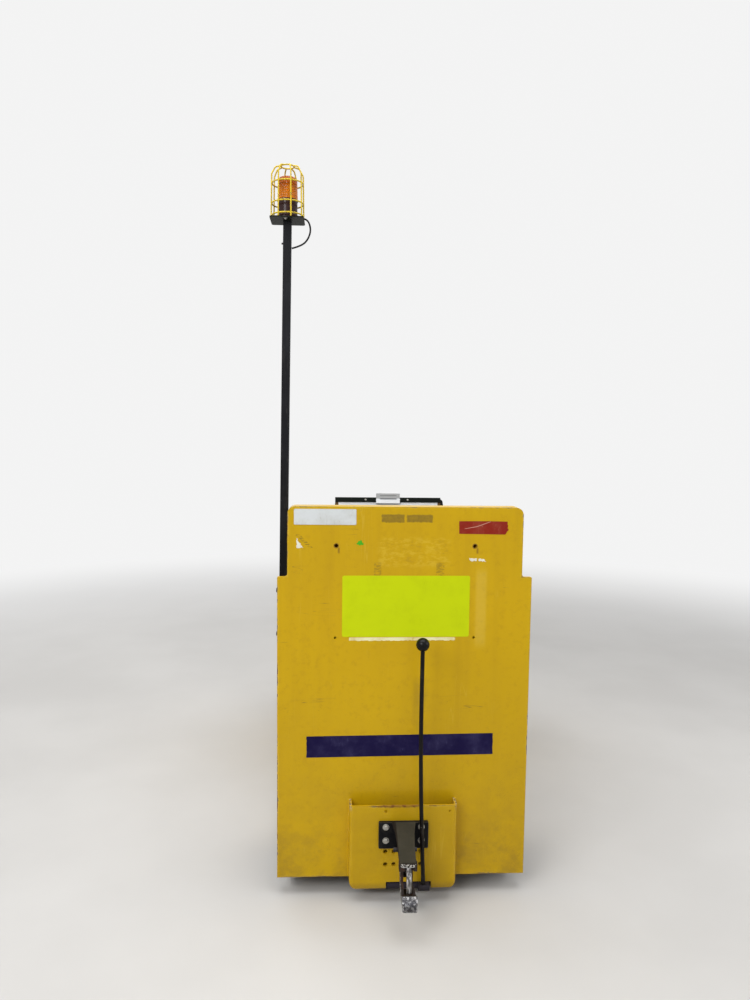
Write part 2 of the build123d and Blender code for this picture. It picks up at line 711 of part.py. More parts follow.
def knee_pad():
    foot, top = KNEE_PAD_Z
    face = Plane(origin=(0, BULKHEAD_Y - SOFT_GAP, (foot + top) / 2), x_dir=(1, 0, 0), z_dir=(0, -1, 0))
    width = OVERALL_WIDTH - 2 * KNEE_PAD_MARGIN
    pad = extrude(face * RectangleRounded(width, top - foot, 30.0), KNEE_PAD_THICKNESS)
    rear = pad.faces().sort_by(Axis.Y)[0]
    return fillet(rear.edges(), 15.0)


# Drive bay


def hood_body(inset):
    """The closed outer or inner form of the hood."""
    rear = BAY_FRONT_Y + SHEET + RUNNING_GAP
    foot = FRAME_TOP_Z + RUNNING_GAP
    half = HALF_WIDTH - inset
    nose = NOSE_Y - inset
    radius = NOSE_RADIUS - inset
    plan = [(-half, rear - inset), (half, rear - inset), (half, nose, radius), (-half, nose, radius)]
    side = [
        (rear - inset, foot - inset),
        (nose, foot - inset),
        (nose, HOOD_NOSE_Z - inset, 70.0),
        (HOOD_SHOULDER_Y, HOOD_SHOULDER_Z - inset, 220.0),
        (HOOD_HINGE[0] + 60.0, COVER_TOP_Z - inset, 120.0),
        (rear - inset, COVER_TOP_Z - inset),
    ]
    return along_z(plan, foot - inset, COVER_TOP_Z) & along_x(side, -half, half)


def drive_hood():
    """The sloping sheet hood over the drive, open at its foot and rear, with its hinge leaves."""
    hood = hood_body(0) - hood_body(THIN_SHEET)
    hinge_y, _ = HOOD_HINGE
    hood -= block(
        (-HALF_WIDTH, HALF_WIDTH),
        (BAY_FRONT_Y, hinge_y + HINGE_RADIUS + 1.0),
        (BAY_TOP_Z - SHEET - 7.0, COVER_TOP_Z),
    )
    half = LOUVRE_WIDTH / 2
    height, first = 10.0, FRAME_TOP_Z + 120.0
    inner_y, outer_y = NOSE_Y - THIN_SHEET, NOSE_Y + LOUVRE_PROUD
    for index in range(LOUVRE_COUNT):
        z = first + index * LOUVRE_PITCH
        slot = [(-half, z, 4.5), (half, z, 4.5), (half, z + height, 4.5), (-half, z + height, 4.5)]
        hood -= along_y(slot, NOSE_Y - 2 * THIN_SHEET, NOSE_Y + 1.0)
        lip = [
            (inner_y, z + height),
            (NOSE_Y, z + height),
            (outer_y - 1.0, z - 1.0),
            (outer_y, z + 1.0),
            (NOSE_Y, z + height + 5.0),
            (inner_y, z + height + 5.0),
        ]
        hood += along_x(lip, -half, half)
    for knuckle in hinge_moving(HOOD_HINGE):
        hood += knuckle
    return hood


def drive_mount():
    """The bridge plate that carries the turntable, on two upright flanges."""
    rear, front = BAY_FRONT_Y + SHEET, NOSE_Y - NOSE_RADIUS
    mount = block((-INNER_HALF, INNER_HALF), (rear, front), (MOUNT_PLATE_Z, MOUNT_PLATE_TOP_Z))
    mount -= shaft_z(NECK_RADIUS + SOFT_GAP, 0, DRIVE_Y, MOUNT_PLATE_Z, MOUNT_PLATE_TOP_Z)
    for side in (-1, 1):
        leg = tuple(sorted((side * INNER_HALF, side * (INNER_HALF - PLATE))))
        mount += block(leg, (rear + 50.0, front - 30.0), (FRAME_BOTTOM_Z + 100.0, MOUNT_PLATE_Z))
    return mount


def drive_unit():
    """The steered gear case: turntable, neck, dome over the wheel, side case and output shaft."""
    dome_z = DRIVE_WHEEL_DIAMETER + 14.0
    profile = [
        (0, dome_z),
        (128.0, dome_z, 12.0),
        (128.0, dome_z + 40.0, 16.0),
        (NECK_RADIUS, MOUNT_PLATE_Z - 8.0),
        (NECK_RADIUS, MOUNT_PLATE_TOP_Z + SOFT_GAP),
        (TURNTABLE_RADIUS, MOUNT_PLATE_TOP_Z + SOFT_GAP),
        (TURNTABLE_RADIUS, MOUNT_PLATE_TOP_Z + 16.0, 3.0),
        (0, MOUNT_PLATE_TOP_Z + 16.0),
    ]
    unit = Pos(0, DRIVE_Y, 0) * revolve(Plane.XZ * outline(profile), Axis.Z)
    half_wheel = DRIVE_WHEEL_WIDTH / 2
    inner, outer = half_wheel + 10.0, half_wheel + 66.0
    case_radius = 72.0
    case = [
        (DRIVE_Y - case_radius, DRIVE_AXLE_Z - case_radius, 50.0),
        (DRIVE_Y + case_radius, DRIVE_AXLE_Z - case_radius, 50.0),
        (DRIVE_Y + case_radius, dome_z + 20.0),
        (DRIVE_Y - case_radius, dome_z + 20.0),
    ]
    unit += along_x(case, inner, outer)
    unit += shaft_x(DRIVE_SHAFT_DIAMETER / 2, -half_wheel + 20.0, inner, DRIVE_Y, DRIVE_AXLE_Z)
    return unit


def drive_motor():
    """The upright drive motor with its turned end caps."""
    foot = MOUNT_PLATE_TOP_Z + 16.0
    profile = [
        (0, foot),
        (MOTOR_RADIUS, foot),
        (MOTOR_RADIUS, foot + 30.0),
        (MOTOR_RADIUS - 6.0, foot + 36.0),
        (MOTOR_RADIUS - 6.0, MOTOR_TOP_Z - 46.0),
        (MOTOR_RADIUS, MOTOR_TOP_Z - 40.0),
        (MOTOR_RADIUS, MOTOR_TOP_Z - 12.0, 10.0),
        (40.0, MOTOR_TOP_Z),
        (0, MOTOR_TOP_Z),
    ]
    return Pos(0, DRIVE_Y, 0) * revolve(Plane.XZ * outline(profile), Axis.Z)


def drive_wheel():
    bore = DRIVE_SHAFT_DIAMETER / 2 + SHAFT_GAP
    return wheel(0, DRIVE_Y, DRIVE_AXLE_Z, DRIVE_WHEEL_WIDTH, DRIVE_RIM_DIAMETER / 2, bore, 50.0, 48.0)


def drive_tyre():
    radius = DRIVE_WHEEL_DIAMETER / 2
    return tyre(0, DRIVE_Y, DRIVE_AXLE_Z, DRIVE_WHEEL_WIDTH, radius, DRIVE_RIM_DIAMETER / 2, 10.0)


# Console and steering handle


def console():
    """The moulded pod on the bulkhead: a low shelf towards the operator and a narrower riser behind it."""
    side = [
        (BULKHEAD_Y, CONSOLE_FOOT_Z),
        (BULKHEAD_Y, BAY_TOP_Z),
        (BULKHEAD_Y + SHEET + 4.0, BAY_TOP_Z),
        (BULKHEAD_Y + SHEET + 4.0, CONSOLE_TOP_Z - 62.0, 25.0),
        (BULKHEAD_Y - 22.0, CONSOLE_TOP_Z, 10.0),
        (RISER_Y + RISER_LEAN, CONSOLE_TOP_Z, 10.0),
        (RISER_Y, SHELF_Z, 18.0),
        (SHELF_REAR_Y, SHELF_REAR_Z, 22.0),
        (SHELF_REAR_Y - 8.0, SHELF_REAR_Z - 66.0, 28.0),
        (BULKHEAD_Y - 40.0, CONSOLE_FOOT_Z, 40.0),
    ]
    half, half_top = CONSOLE_WIDTH / 2, CONSOLE_TOP_WIDTH / 2
    front = [
        (half - 20.0, CONSOLE_FOOT_Z, 50.0),
        (half, SHELF_REAR_Z - 120.0, 40.0),
        (half, SHELF_Z, 30.0),
        (half_top + 12.0, SHELF_Z + 14.0, 22.0),
        (half_top, CONSOLE_TOP_Z, 12.0),
    ]
    return along_x(side, -half, half) & along_y(mirrored(front), SHELF_REAR_Y - 20.0, BULKHEAD_Y + 40.0)


def shelf_z(y):
    """Height of the shelf's sloping top at a depth."""
    slope = (SHELF_Z - SHELF_REAR_Z) / (RISER_Y - SHELF_REAR_Y)
    return SHELF_REAR_Z + (y - SHELF_REAR_Y) * slope


def console_controls():
    """Key switch, stop button, horn button and display, each standing on the shelf."""
    parts = []
    for x, setback, radius, height in CONTROLS:
        y = RISER_Y - setback
        foot = shelf_z(y - radius) - 2.0
        parts.append(shaft_z(radius, x, y, foot, shelf_z(y) + height))
    tilt = degrees(atan2(SHELF_Z - SHELF_REAR_Z, RISER_Y - SHELF_REAR_Y))
    width, depth, thickness = DISPLAY_SIZE
    display_y = RISER_Y - 45.0
    place = Pos(0, display_y, shelf_z(display_y) + thickness / 2) * Rot(tilt, 0, 0)
    parts.append(place * Box(width, depth, thickness))
    pod = console()
    return Compound(children=[control - pod for control in parts])


def clipboard():
    """A board that leans on the riser, with its spring clip over the console's top edge."""
    lean = (CONSOLE_TOP_Z - SHELF_Z) / RISER_LEAN
    foot_z, top_z = SHELF_Z + 30.0, CLIPBOARD_TOP_Z
    thickness = 4.0

    def face(z):
        return RISER_Y + (z - SHELF_Z) / lean - SOFT_GAP

    half, half_clip = CLIPBOARD_WIDTH / 2, CLIP_WIDTH / 2
    height, proud = CLIPBOARD_BAR
    bar_foot = top_z - height
    board = [
        (face(foot_z), foot_z),
        (face(top_z), top_z, 2.0),
        (face(top_z) - thickness - proud, top_z, 2.0),
        (face(bar_foot) - thickness - proud, bar_foot, 1.0),
        (face(bar_foot) - thickness, bar_foot),
        (face(foot_z) - thickness, foot_z),
    ]
    front = face(top_z) - thickness - proud
    clip = [
        (face(bar_foot) - thickness - proud, bar_foot),
        (front, top_z),
        (front + 3.0, top_z),
        (front + 3.0, CLIP_TOP_Z, 1.0),
        (front - 2.0, CLIP_TOP_Z, 1.0),
        (front - 3.0, top_z - 4.0),
        (front - 9.0, bar_foot - 4.0, 2.0),
        (front - 4.0, bar_foot - 8.0, 2.0),
    ]
    x = CLIPBOARD_X
    return along_x(board, x - half, x + half) + along_x(clip, x - half_clip, x + half_clip)


def steering_column():
    """The fixed collar under the steering handle."""
    foot = SHELF_REAR_Z - 10.0
    profile = [
        (0, foot),
        (COLUMN_RADIUS + 12.0, foot),
        (COLUMN_RADIUS + 12.0, shelf_z(STEERING_Y) + 6.0, 5.0),
        (COLUMN_RADIUS, shelf_z(STEERING_Y) + 12.0, 5.0),
        (COLUMN_RADIUS, COLUMN_TOP_Z),
        (0, COLUMN_TOP_Z),
    ]
    column = Pos(0, STEERING_Y, 0) * revolve(Plane.XZ * outline(profile), Axis.Z)
    return column - console()


def steering_handle():
    """The turning head with its cross tube."""
    foot = COLUMN_TOP_Z + SOFT_GAP
    profile = [
        (0, foot),
        (COLUMN_RADIUS + 4.0, foot, 3.0),
        (COLUMN_RADIUS, HANDLE_Z + 8.0, 10.0),
        (0, HANDLE_Z + 14.0),
    ]
    head = Pos(0, STEERING_Y, 0) * revolve(Plane.XZ * outline(profile), Axis.Z)
    half = HANDLE_SPAN / 2
    return head + shaft_x(HANDLE_TUBE_RADIUS, -half + 4.0, half - 4.0, STEERING_Y, HANDLE_Z)


def hand_grip(side):
    """A ribbed rubber grip with its end flange, over the handle's tube."""
    inner = HANDLE_SPAN / 2 - GRIP_LENGTH
    crown = 60.0
    profile = [
        (HANDLE_TUBE_RADIUS + SHAFT_GAP, 0),
        (GRIP_RADIUS + 5.0, 0, 2.0),
        (GRIP_RADIUS + 5.0, 6.0, 2.0),
        (GRIP_RADIUS, 8.0),
        (GRIP_RADIUS + 1.0, GRIP_LENGTH / 2, crown),
        (GRIP_RADIUS, GRIP_LENGTH - 5.0, 4.0),
        (GRIP_RADIUS - 4.0, GRIP_LENGTH),
        (HANDLE_TUBE_RADIUS + SHAFT_GAP, GRIP_LENGTH),
    ]
    turned = revolve(Plane.XZ * outline(profile), Axis.Z)
    return Pos(side * inner, STEERING_Y, HANDLE_Z) * Rot(0, side * 90, 0) * turned


def hand_grips():
    return Compound(children=[hand_grip(side) for side in (-1, 1)])


# Hitch


def hitch_bracket():
    """The bent channel on the rear plate, drilled for the hitch at several heights."""
    half = BRACKET_WIDTH / 2
    plan = [
        (-half, 0),
        (-half, -BRACKET_DEPTH, BRACKET_BEND),
        (half, -BRACKET_DEPTH, BRACKET_BEND),
        (half, 0),
    ]
    inner_half, inner_depth = half - BRACKET_WALL, BRACKET_DEPTH - BRACKET_WALL
    inner_bend = BRACKET_BEND - BRACKET_WALL
    inner = [
        (-inner_half, 0),
        (-inner_half, -inner_depth, inner_bend),
        (inner_half, -inner_depth, inner_bend),
        (inner_half, 0),
    ]
    bracket = along_z(plan, *BRACKET_Z) - along_z(inner, *BRACKET_Z)
    foot, corner = BRACKET_Z[0], 24.0
    face_outline = [(half, foot, corner), (half, BRACKET_Z[1])]
    bracket &= along_y(mirrored(face_outline), -BRACKET_DEPTH, 0)
    for x in HOLE_COLUMNS:
        for z in HOLE_ROWS:
            bracket -= shaft_y(HITCH_HOLE_RADIUS, x, -BRACKET_DEPTH, -inner_depth, z)
    for x, z, radius in RIM_HOLES:
        bracket -= shaft_y(radius, x, -BRACKET_DEPTH, -inner_depth, z)
    notch_z = (BRACKET_Z[0], BRACKET_NOTCH_TOP_Z)
    bracket -= block(BRACKET_NOTCH_X, (-BRACKET_DEPTH, -inner_depth), notch_z)
    for lug in release_lugs():
        bracket += lug
    return bracket


def release_lugs():
    """Two drilled lugs inside the bracket's foot, one each side of its notch, that hold the release shaft."""
    y, z = RELEASE_PIVOT
    inner_face = BRACKET_WALL - BRACKET_DEPTH
    lug = [
        (inner_face, z - 6.0),
        (inner_face, z + 24.0),
        (y + 8.0, z + 14.0, 6.0),
        (y + 16.0, z, 6.0),
        (y + 8.0, z - 12.0, 6.0),
    ]
    left, right = BRACKET_NOTCH_X
    lugs = [along_x(lug, left - LUG_THICKNESS, left), along_x(lug, right, right + LUG_THICKNESS)]
    bore = RELEASE_SHAFT_RADIUS + SHAFT_GAP
    reach = LUG_THICKNESS + 1.0
    return [piece - shaft_x(bore, left - reach, right + reach, y, z) for piece in lugs]


def hitch_mount():
    """The black plate that is bolted on the bracket and carries the hook, with the guard welded on it."""
    half = MOUNT_WIDTH / 2
    plate = [(half, MOUNT_Z[0], 4.0), (half, MOUNT_Z[1], 4.0)]
    return along_y(mirrored(plate), MOUNT_FACE_Y, -BRACKET_DEPTH) + hitch_shield()


def shield_z(y):
    """Height of the shield's upper face at a depth."""
    run = -MOUNT_FACE_Y - SHIELD_REACH
    return SHIELD_FRONT_Z + (SHIELD_REAR_Z - SHIELD_FRONT_Z) * (y - MOUNT_FACE_Y) / run


def hitch_shield():
    """The sloping guard over the hook, cut to a taper and rounded at its worn rear edge."""
    end = -SHIELD_REACH
    thickness = THIN_SHEET
    sheet = [
        (MOUNT_FACE_Y, shield_z(MOUNT_FACE_Y)),
        (end, shield_z(end)),
        (end, shield_z(end) - thickness),
        (MOUNT_FACE_Y, shield_z(MOUNT_FACE_Y) - thickness),
    ]
    half, half_end = SHIELD_WIDTHS[0] / 2, SHIELD_WIDTHS[1] / 2
    waist = [(x, y, 150.0) for y, x in SHIELD_HALF_WIDTHS]
    right = [(half, MOUNT_FACE_Y), *waist, (half_end, end, 9.0)]
    return along_x(sheet, -half, half) & along_z(mirrored(right), 0, BRACKET_Z[1])


def hitch_body():
    """The cast hook: an arm under the guard, two cheeks round a slot, and the worn nose that joins them."""
    under = THIN_SHEET
    side = [
        (MOUNT_FACE_Y, MOUNT_Z[0] + 4.0),
        (MOUNT_FACE_Y, shield_z(MOUNT_FACE_Y) - under),
        (-222.0, shield_z(-222.0) - under),
        (-222.0, 208.0, 6.0),
        (-184.0, 200.0, 16.0),
        (-180.0, 150.0, 14.0),
        (-214.0, 128.0, 10.0),
        (-244.0, 146.0, 6.0),
        (-HITCH_REACH, 134.0, 14.0),
        (6.0 - HITCH_REACH, 101.0, 16.0),
        (-176.0, 98.0, 40.0),
        (-134.0, 178.0, 40.0),
    ]
    cheek, nose, arm = CHEEK_WIDTH / 2, NOSE_WIDTH / 2, ARM_WIDTH / 2
    hook = along_x(side, -cheek, cheek)
    left_nose, right_nose = HEAD_OFFSET_X - nose, HEAD_OFFSET_X + nose
    corner = 19.0
    rear_view = [
        (right_nose, 98.0, corner),
        (right_nose, 150.0),
        (cheek, 222.0),
        (cheek, BRACKET_Z[1]),
        (-cheek, BRACKET_Z[1]),
        (-cheek, 222.0),
        (left_nose, 150.0),
        (left_nose, 98.0, corner),
    ]
    hook &= along_y(rear_view, -HITCH_REACH, MOUNT_FACE_Y)
    plan = [
        (arm, MOUNT_FACE_Y),
        (arm, -185.0),
        (cheek, -212.0),
        (cheek, -232.0),
        (right_nose, -HITCH_REACH, 17.0),
        (left_nose, -HITCH_REACH, 17.0),
        (-cheek, -232.0),
        (-cheek, -212.0),
        (-arm, -185.0),
        (-arm, MOUNT_FACE_Y),
    ]
    hook &= along_z(plan, 0, BRACKET_Z[1])
    left_wall, right_wall = HEAD_OFFSET_X - SLOT_WIDTH / 2, HEAD_OFFSET_X + SLOT_WIDTH / 2
    inner_y, outer_y = SLOT_ENDS_Y
    slot = [
        (inner_y, 119.0, 8.0),
        (outer_y, 121.0, 8.0),
        (outer_y - 2.0, BRACKET_Z[1]),
        (inner_y, BRACKET_Z[1]),
    ]
    hook -= along_x(slot, left_wall, right_wall)
    y, z = LATCH_PIVOT
    reach = LATCH_PIN_LENGTH / 2
    return hook + shaft_x(LATCH_PIN_RADIUS, -reach, reach, y, z)


def hitch_latch():
    """The worn tongue that hangs in the hook's mouth and closes it behind the nose."""
    y, z = LATCH_PIVOT
    eye = 11.0
    left, right = HEAD_OFFSET_X - LATCH_WIDTH / 2, HEAD_OFFSET_X + LATCH_WIDTH / 2
    tongue = [
        (y - 9.0, z + 4.0),
        (y - 25.0, z - 30.0, 20.0),
        (y - 30.0, z - 68.0, 5.0),
        (y - 18.0, z - 68.0, 5.0),
        (y - 11.0, z - 28.0, 20.0),
        (y + 6.0, z - 6.0),
    ]
    latch = along_x(tongue, left, right) + shaft_x(eye, left, right, y, z)
    return latch - shaft_x(LATCH_PIN_RADIUS + SHAFT_GAP, left, right, y, z)


def release_shaft():
    """The bar in the bracket's notch, turned down at its ends, with the crank that clamps the lever rod."""
    y, z = RELEASE_PIVOT
    left, right = BRACKET_NOTCH_X[0] + BAR_GAP, BRACKET_NOTCH_X[1] - BAR_GAP
    shaft = shaft_x(RELEASE_BAR_RADIUS, left, right, y, z)
    reach = BAR_GAP + LUG_THICKNESS
    shaft += shaft_x(RELEASE_SHAFT_RADIUS, left - reach, right + reach, y, z)
    foot_y = ROD_FOOT[1]
    crank = [
        (y, z - 8.0),
        (y, z + 8.0),
        (-BRACKET_DEPTH - RUNNING_GAP, z + 8.0, 6.0),
        (foot_y + 14.0, z + 32.0, 8.0),
        (foot_y - 12.0, z + 32.0, 8.0),
        (foot_y - 12.0, z + 15.0, 8.0),
        (foot_y + 6.0, z + 8.0, 10.0),
        (foot_y + 26.0, z - 8.0, 10.0),
    ]
    return shaft + along_x(crank, *CRANK_X)


def release_lever():
    """The long rod of the hitch release, bowed as it stands."""
    route = [
        (*ROD_FOOT, RELEASE_PIVOT[1] + 22.0),
        *ROD_BOWS,
        (KNOB_CENTRE[0], KNOB_CENTRE[1], KNOB_CENTRE[2] - KNOB_RADIUS + 3.0),
    ]
    path = FilletPolyline(*route, radius=arc_radii(route))
    return sweep(Plane(path ^ 0) * Circle(ROD_RADIUS), path) - release_shaft()


def lever_knob():
    knob = Pos(*KNOB_CENTRE) * Sphere(KNOB_RADIUS)
    return knob - release_lever()


# Beacon


def pole_location(height):
    """Where the pole's axis is at a height above its foot, turned with its lean."""
    x = POLE_FOOT_X + height * tan(radians(POLE_LEAN))
    return Pos(x, POLE_Y, POLE_FOOT_Z + height) * Rot(0, POLE_LEAN, 0)


def pole_prism(size, corner):
    length = (BEACON_PLATE_Z - POLE_FOOT_Z) / cos(radians(POLE_LEAN)) + 10.0
    face = RectangleRounded(size, size, corner)
    prism = pole_location(0) * extrude(face, length)
    return prism - block((-HALF_WIDTH - 200, 0), (0, 200), (BEACON_PLATE_Z, BEACON_PLATE_Z + 100))


def beacon_pole():
    """The square tube, with the plate for the lamp welded on its top."""
    return pole_prism(POLE_SIZE, 3.0) - pole_prism(POLE_SIZE - 2 * POLE_WALL, 1.0) + beacon_plate()


def pole_clamps():
    """The two clamps that hold the pole against the tower's side."""
    clamps = []
    half_depth, half_height = CLAMP_SIZE[0] / 2, CLAMP_SIZE[1] / 2
    for height in CLAMP_HEIGHTS:
        z = POLE_FOOT_Z + height
        span = (POLE_Y - half_depth, POLE_Y + half_depth)
        grip = block((-HALF_WIDTH - 1.0, -TOWER_HALF), span, (z - half_height, z + half_height))
        clamps.append(grip - pole_prism(POLE_SIZE, 3.0))
    return Compound(children=clamps)


def beacon_axis_x():
    """Where the pole's axis meets the beacon plate."""
    return POLE_FOOT_X + (BEACON_PLATE_Z - POLE_FOOT_Z) * tan(radians(POLE_LEAN))


def beacon_plate():
    width, depth, thickness = BEACON_PLATE_SIZE
    x, half_w, half_d = beacon_axis_x(), width / 2, depth / 2
    corner = 8.0
    plan = [
        (x - half_w, POLE_Y - half_d, corner),
        (x + half_w, POLE_Y - half_d, corner),
        (x + half_w, POLE_Y + half_d, corner),
        (x - half_w, POLE_Y + half_d, corner),
    ]
    return along_z(plan, BEACON_PLATE_Z, BEACON_PLATE_Z + thickness)


def beacon_base():
    """The dark round housing of the lamp."""
    profile = [
        (0, 0),
        (BEACON_RADIUS + 4.0, 0, 2.0),
        (BEACON_RADIUS + 4.0, 10.0, 2.0),
        (BEACON_RADIUS - 1.0, 13.0),
        (BEACON_RADIUS - 1.0, BEACON_BASE_HEIGHT - 6.0),
        (BEACON_RADIUS + 1.0, BEACON_BASE_HEIGHT - 4.0),
        (BEACON_RADIUS + 1.0, BEACON_BASE_HEIGHT),
        (0, BEACON_BASE_HEIGHT),
    ]
    base = revolve(Plane.XZ * outline(profile), Axis.Z)
    base += shaft_x(CABLE_DIAMETER / 2 + 2.0, 0, BEACON_RADIUS + GLAND_REACH, 0, CABLE_EXIT_Z)
    return Pos(beacon_axis_x(), POLE_Y, BEACON_BASE_Z) * base


def beacon_lens():
    """The amber lens, a hollow cap with a domed top."""
    wall = 3.0
    top_radius, inner_radius, inner_top = BEACON_RADIUS - 2.0, BEACON_RADIUS - wall, LENS_HEIGHT - wall
    outer = [(0, 0), (BEACON_RADIUS, 0), (top_radius, LENS_HEIGHT, 12.0), (0, LENS_HEIGHT)]
    inner = [(0, 0), (inner_radius, 0), (top_radius - wall, inner_top, 10.0), (0, inner_top)]
    lens = revolve(Plane.XZ * outline(outer), Axis.Z) - revolve(Plane.XZ * outline(inner), Axis.Z)
    return Pos(beacon_axis_x(), POLE_Y, LENS_Z) * lens


def beacon_cage():
    """The wire guard: eight bent wires on three hoops, closed by a small ring on top."""
    half = CAGE_WIRE / 2
    foot = BEACON_BASE_Z
    top = BEACON_BASE_Z + CAGE_HEIGHT - half
    shoulder = top - CAGE_SHOULDER
    path = FilletPolyline(
        (CAGE_RADIUS, 0, foot),
        (CAGE_RADIUS - 2.0, 0, shoulder),
        (CAGE_RADIUS - 14.0, 0, top - 4.0),
        (CAGE_TOP_RING_RADIUS, 0, top),
        radius=12.0,
    )
    wire = sweep(Plane(path ^ 0) * Circle(half), path)
    cage = Pos(0, 0, top) * Torus(CAGE_TOP_RING_RADIUS, half)
    for height in CAGE_HOOPS:
        radius = CAGE_RADIUS - half - 2.0 * height / (shoulder - foot)
        cage += Pos(0, 0, foot + height) * Torus(radius, half)
    for index in range(CAGE_WIRES):
        cage += Rot(0, 0, CAGE_FIRST_ANGLE + index * 360.0 / CAGE_WIRES) * wire
    cage -= Pos(0, 0, foot - CAGE_WIRE) * Cylinder(CAGE_RADIUS * 1.5, 2 * CAGE_WIRE)
    return Pos(beacon_axis_x(), POLE_Y, 0) * cage


def beacon_cable():
    """The lamp's lead: out of the base, over the plate's edge and back into the pole."""
    x = beacon_axis_x()
    route = [
        (x + BEACON_RADIUS + GLAND_REACH, POLE_Y, BEACON_BASE_Z + CABLE_EXIT_Z),
        (x + 62.0, POLE_Y, BEACON_BASE_Z + CABLE_EXIT_Z),
        (x + 74.0, POLE_Y, BEACON_PLATE_Z - 22.0),
        (x + 66.0, POLE_Y, BEACON_PLATE_Z - 52.0),
        (x + 46.0, POLE_Y, BEACON_PLATE_Z - 74.0),
        (x + POLE_SIZE / 2 + 0.4, POLE_Y, BEACON_PLATE_Z - 83.0),
    ]
    radii = arc_radii(route)
    print("cable radii", [round(radius, 1) for radius in radii])
    path = FilletPolyline(*route, radius=radii)
    return sweep(Plane(path ^ 0) * Circle(CABLE_DIAMETER / 2), path)


PIECES = {
    "rear_plate": rear_plate,
    "tower_sides": tower_sides,
    "backrest_panel": backrest_panel,
    "backrest_pad": backrest_pad,
    "side_frame": side_frame,
    "bumper": bumper,
    "wheel_deck": wheel_deck,
    "rear_axle": rear_axle,
    "rear_wheel_left": lambda: rear_wheel(-1),
    "rear_wheel_right": lambda: rear_wheel(1),
    "rear_tyre_left": lambda: rear_tyre(-1),
    "rear_tyre_right": lambda: rear_tyre(1),
    "platform_floor": platform_floor,
    "floor_mat": floor_mat,
    "foot_pedal": foot_pedal,
    "bulkhead": bulkhead,
    "knee_pad": knee_pad,
    "battery_bed": battery_bed,
    "battery": battery,
    "side_gate_left": lambda: side_gate(-1),
    "side_gate_right": lambda: side_gate(1),
    "battery_cover": battery_cover,
    "front_wall": front_wall,
    "drive_hood": drive_hood,
    "drive_mount": drive_mount,
    "drive_unit": drive_unit,
    "drive_motor": drive_motor,
    "drive_wheel": drive_wheel,
    "drive_tyre": drive_tyre,
    "console": console,
    "console_controls": console_controls,
    "clipboard": clipboard,
    "steering_column": steering_column,
    "steering_handle": steering_handle,
    "hand_grips": hand_grips,
    "hitch_bracket": hitch_bracket,
    "hitch_mount": hitch_mount,
    "hitch_body": hitch_body,
    "hitch_latch": hitch_latch,
    "release_shaft": release_shaft,
    "release_lever": release_lever,
    "lever_knob": lever_knob,
    "beacon_pole": beacon_pole,
    "pole_clamps": pole_clamps,
    "beacon_base": beacon_base,
    "beacon_lens": beacon_lens,
    "beacon_cage": beacon_cage,
    "beacon_cable": beacon_cable,
}

os.makedirs("parts", exist_ok=True)
for name, make in PIECES.items():
    export_step(Pos(0, ORIGIN_SHIFT, 0) * make(), f"parts/{name}.step")
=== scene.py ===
"""Stand-up electric tow tractor, dressed piece by piece in the order in which it is put together."""

import random
from math import atan2, cos, hypot, pi, radians, sin

import bmesh
import bpy
from mathutils import Matrix, Vector


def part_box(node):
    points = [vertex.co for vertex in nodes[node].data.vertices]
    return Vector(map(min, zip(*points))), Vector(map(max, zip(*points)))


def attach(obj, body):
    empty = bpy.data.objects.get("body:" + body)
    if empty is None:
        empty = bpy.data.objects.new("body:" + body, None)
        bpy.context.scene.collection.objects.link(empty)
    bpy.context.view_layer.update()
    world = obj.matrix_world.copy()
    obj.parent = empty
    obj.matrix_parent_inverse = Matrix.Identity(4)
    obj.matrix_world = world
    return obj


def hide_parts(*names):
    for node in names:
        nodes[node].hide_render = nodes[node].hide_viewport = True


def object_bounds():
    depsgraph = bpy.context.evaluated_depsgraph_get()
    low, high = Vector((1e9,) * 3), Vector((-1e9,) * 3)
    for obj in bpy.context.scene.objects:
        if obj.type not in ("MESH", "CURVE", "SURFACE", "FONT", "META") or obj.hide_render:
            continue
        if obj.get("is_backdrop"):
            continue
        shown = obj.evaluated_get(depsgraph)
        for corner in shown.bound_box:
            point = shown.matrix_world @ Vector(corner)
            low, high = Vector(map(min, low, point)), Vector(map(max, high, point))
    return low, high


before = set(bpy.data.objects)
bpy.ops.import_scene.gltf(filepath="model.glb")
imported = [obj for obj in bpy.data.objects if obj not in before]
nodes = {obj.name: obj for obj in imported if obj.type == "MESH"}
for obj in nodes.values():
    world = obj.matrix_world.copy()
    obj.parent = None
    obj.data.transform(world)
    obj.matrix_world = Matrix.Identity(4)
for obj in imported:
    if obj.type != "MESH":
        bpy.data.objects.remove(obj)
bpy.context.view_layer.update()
scene = bpy.context.scene

# Place to look from
# The tractor is seen from behind by a standing person, a step to its left, with the camera upright.
# The lens and the three turns come from the corners of the rear plate.
REAR_FACE_Y = -0.715
PICTURE_LONG_SIDE = 1000
FOCAL_PIXELS = 751
EYE = Vector((-0.222, REAR_FACE_Y - 2.363, 1.520))
YAW, PITCH, ROLL = radians(-2.94), radians(-5.06), radians(0.65)

camera_data = bpy.data.cameras.new("viewpoint")
camera_data.sensor_width = 36.0
camera_data.lens = FOCAL_PIXELS / PICTURE_LONG_SIDE * camera_data.sensor_width
camera = bpy.data.objects.new("viewpoint", camera_data)
turn = Matrix.Rotation(YAW, 4, "Z") @ Matrix.Rotation(pi / 2 + PITCH, 4, "X") @ Matrix.Rotation(ROLL, 4, "Z")
camera.matrix_world = Matrix.Translation(EYE) @ turn
scene.collection.objects.link(camera)
scene.camera = camera
scene.view_settings.view_transform = "Standard"


# Floor, walls and lamps
# A pale seamless studio: a matt floor that fades into a pale surround, and four soft lamps.
# Every finish in the script is built with the two classes that start here.
SPECULAR = 0.11


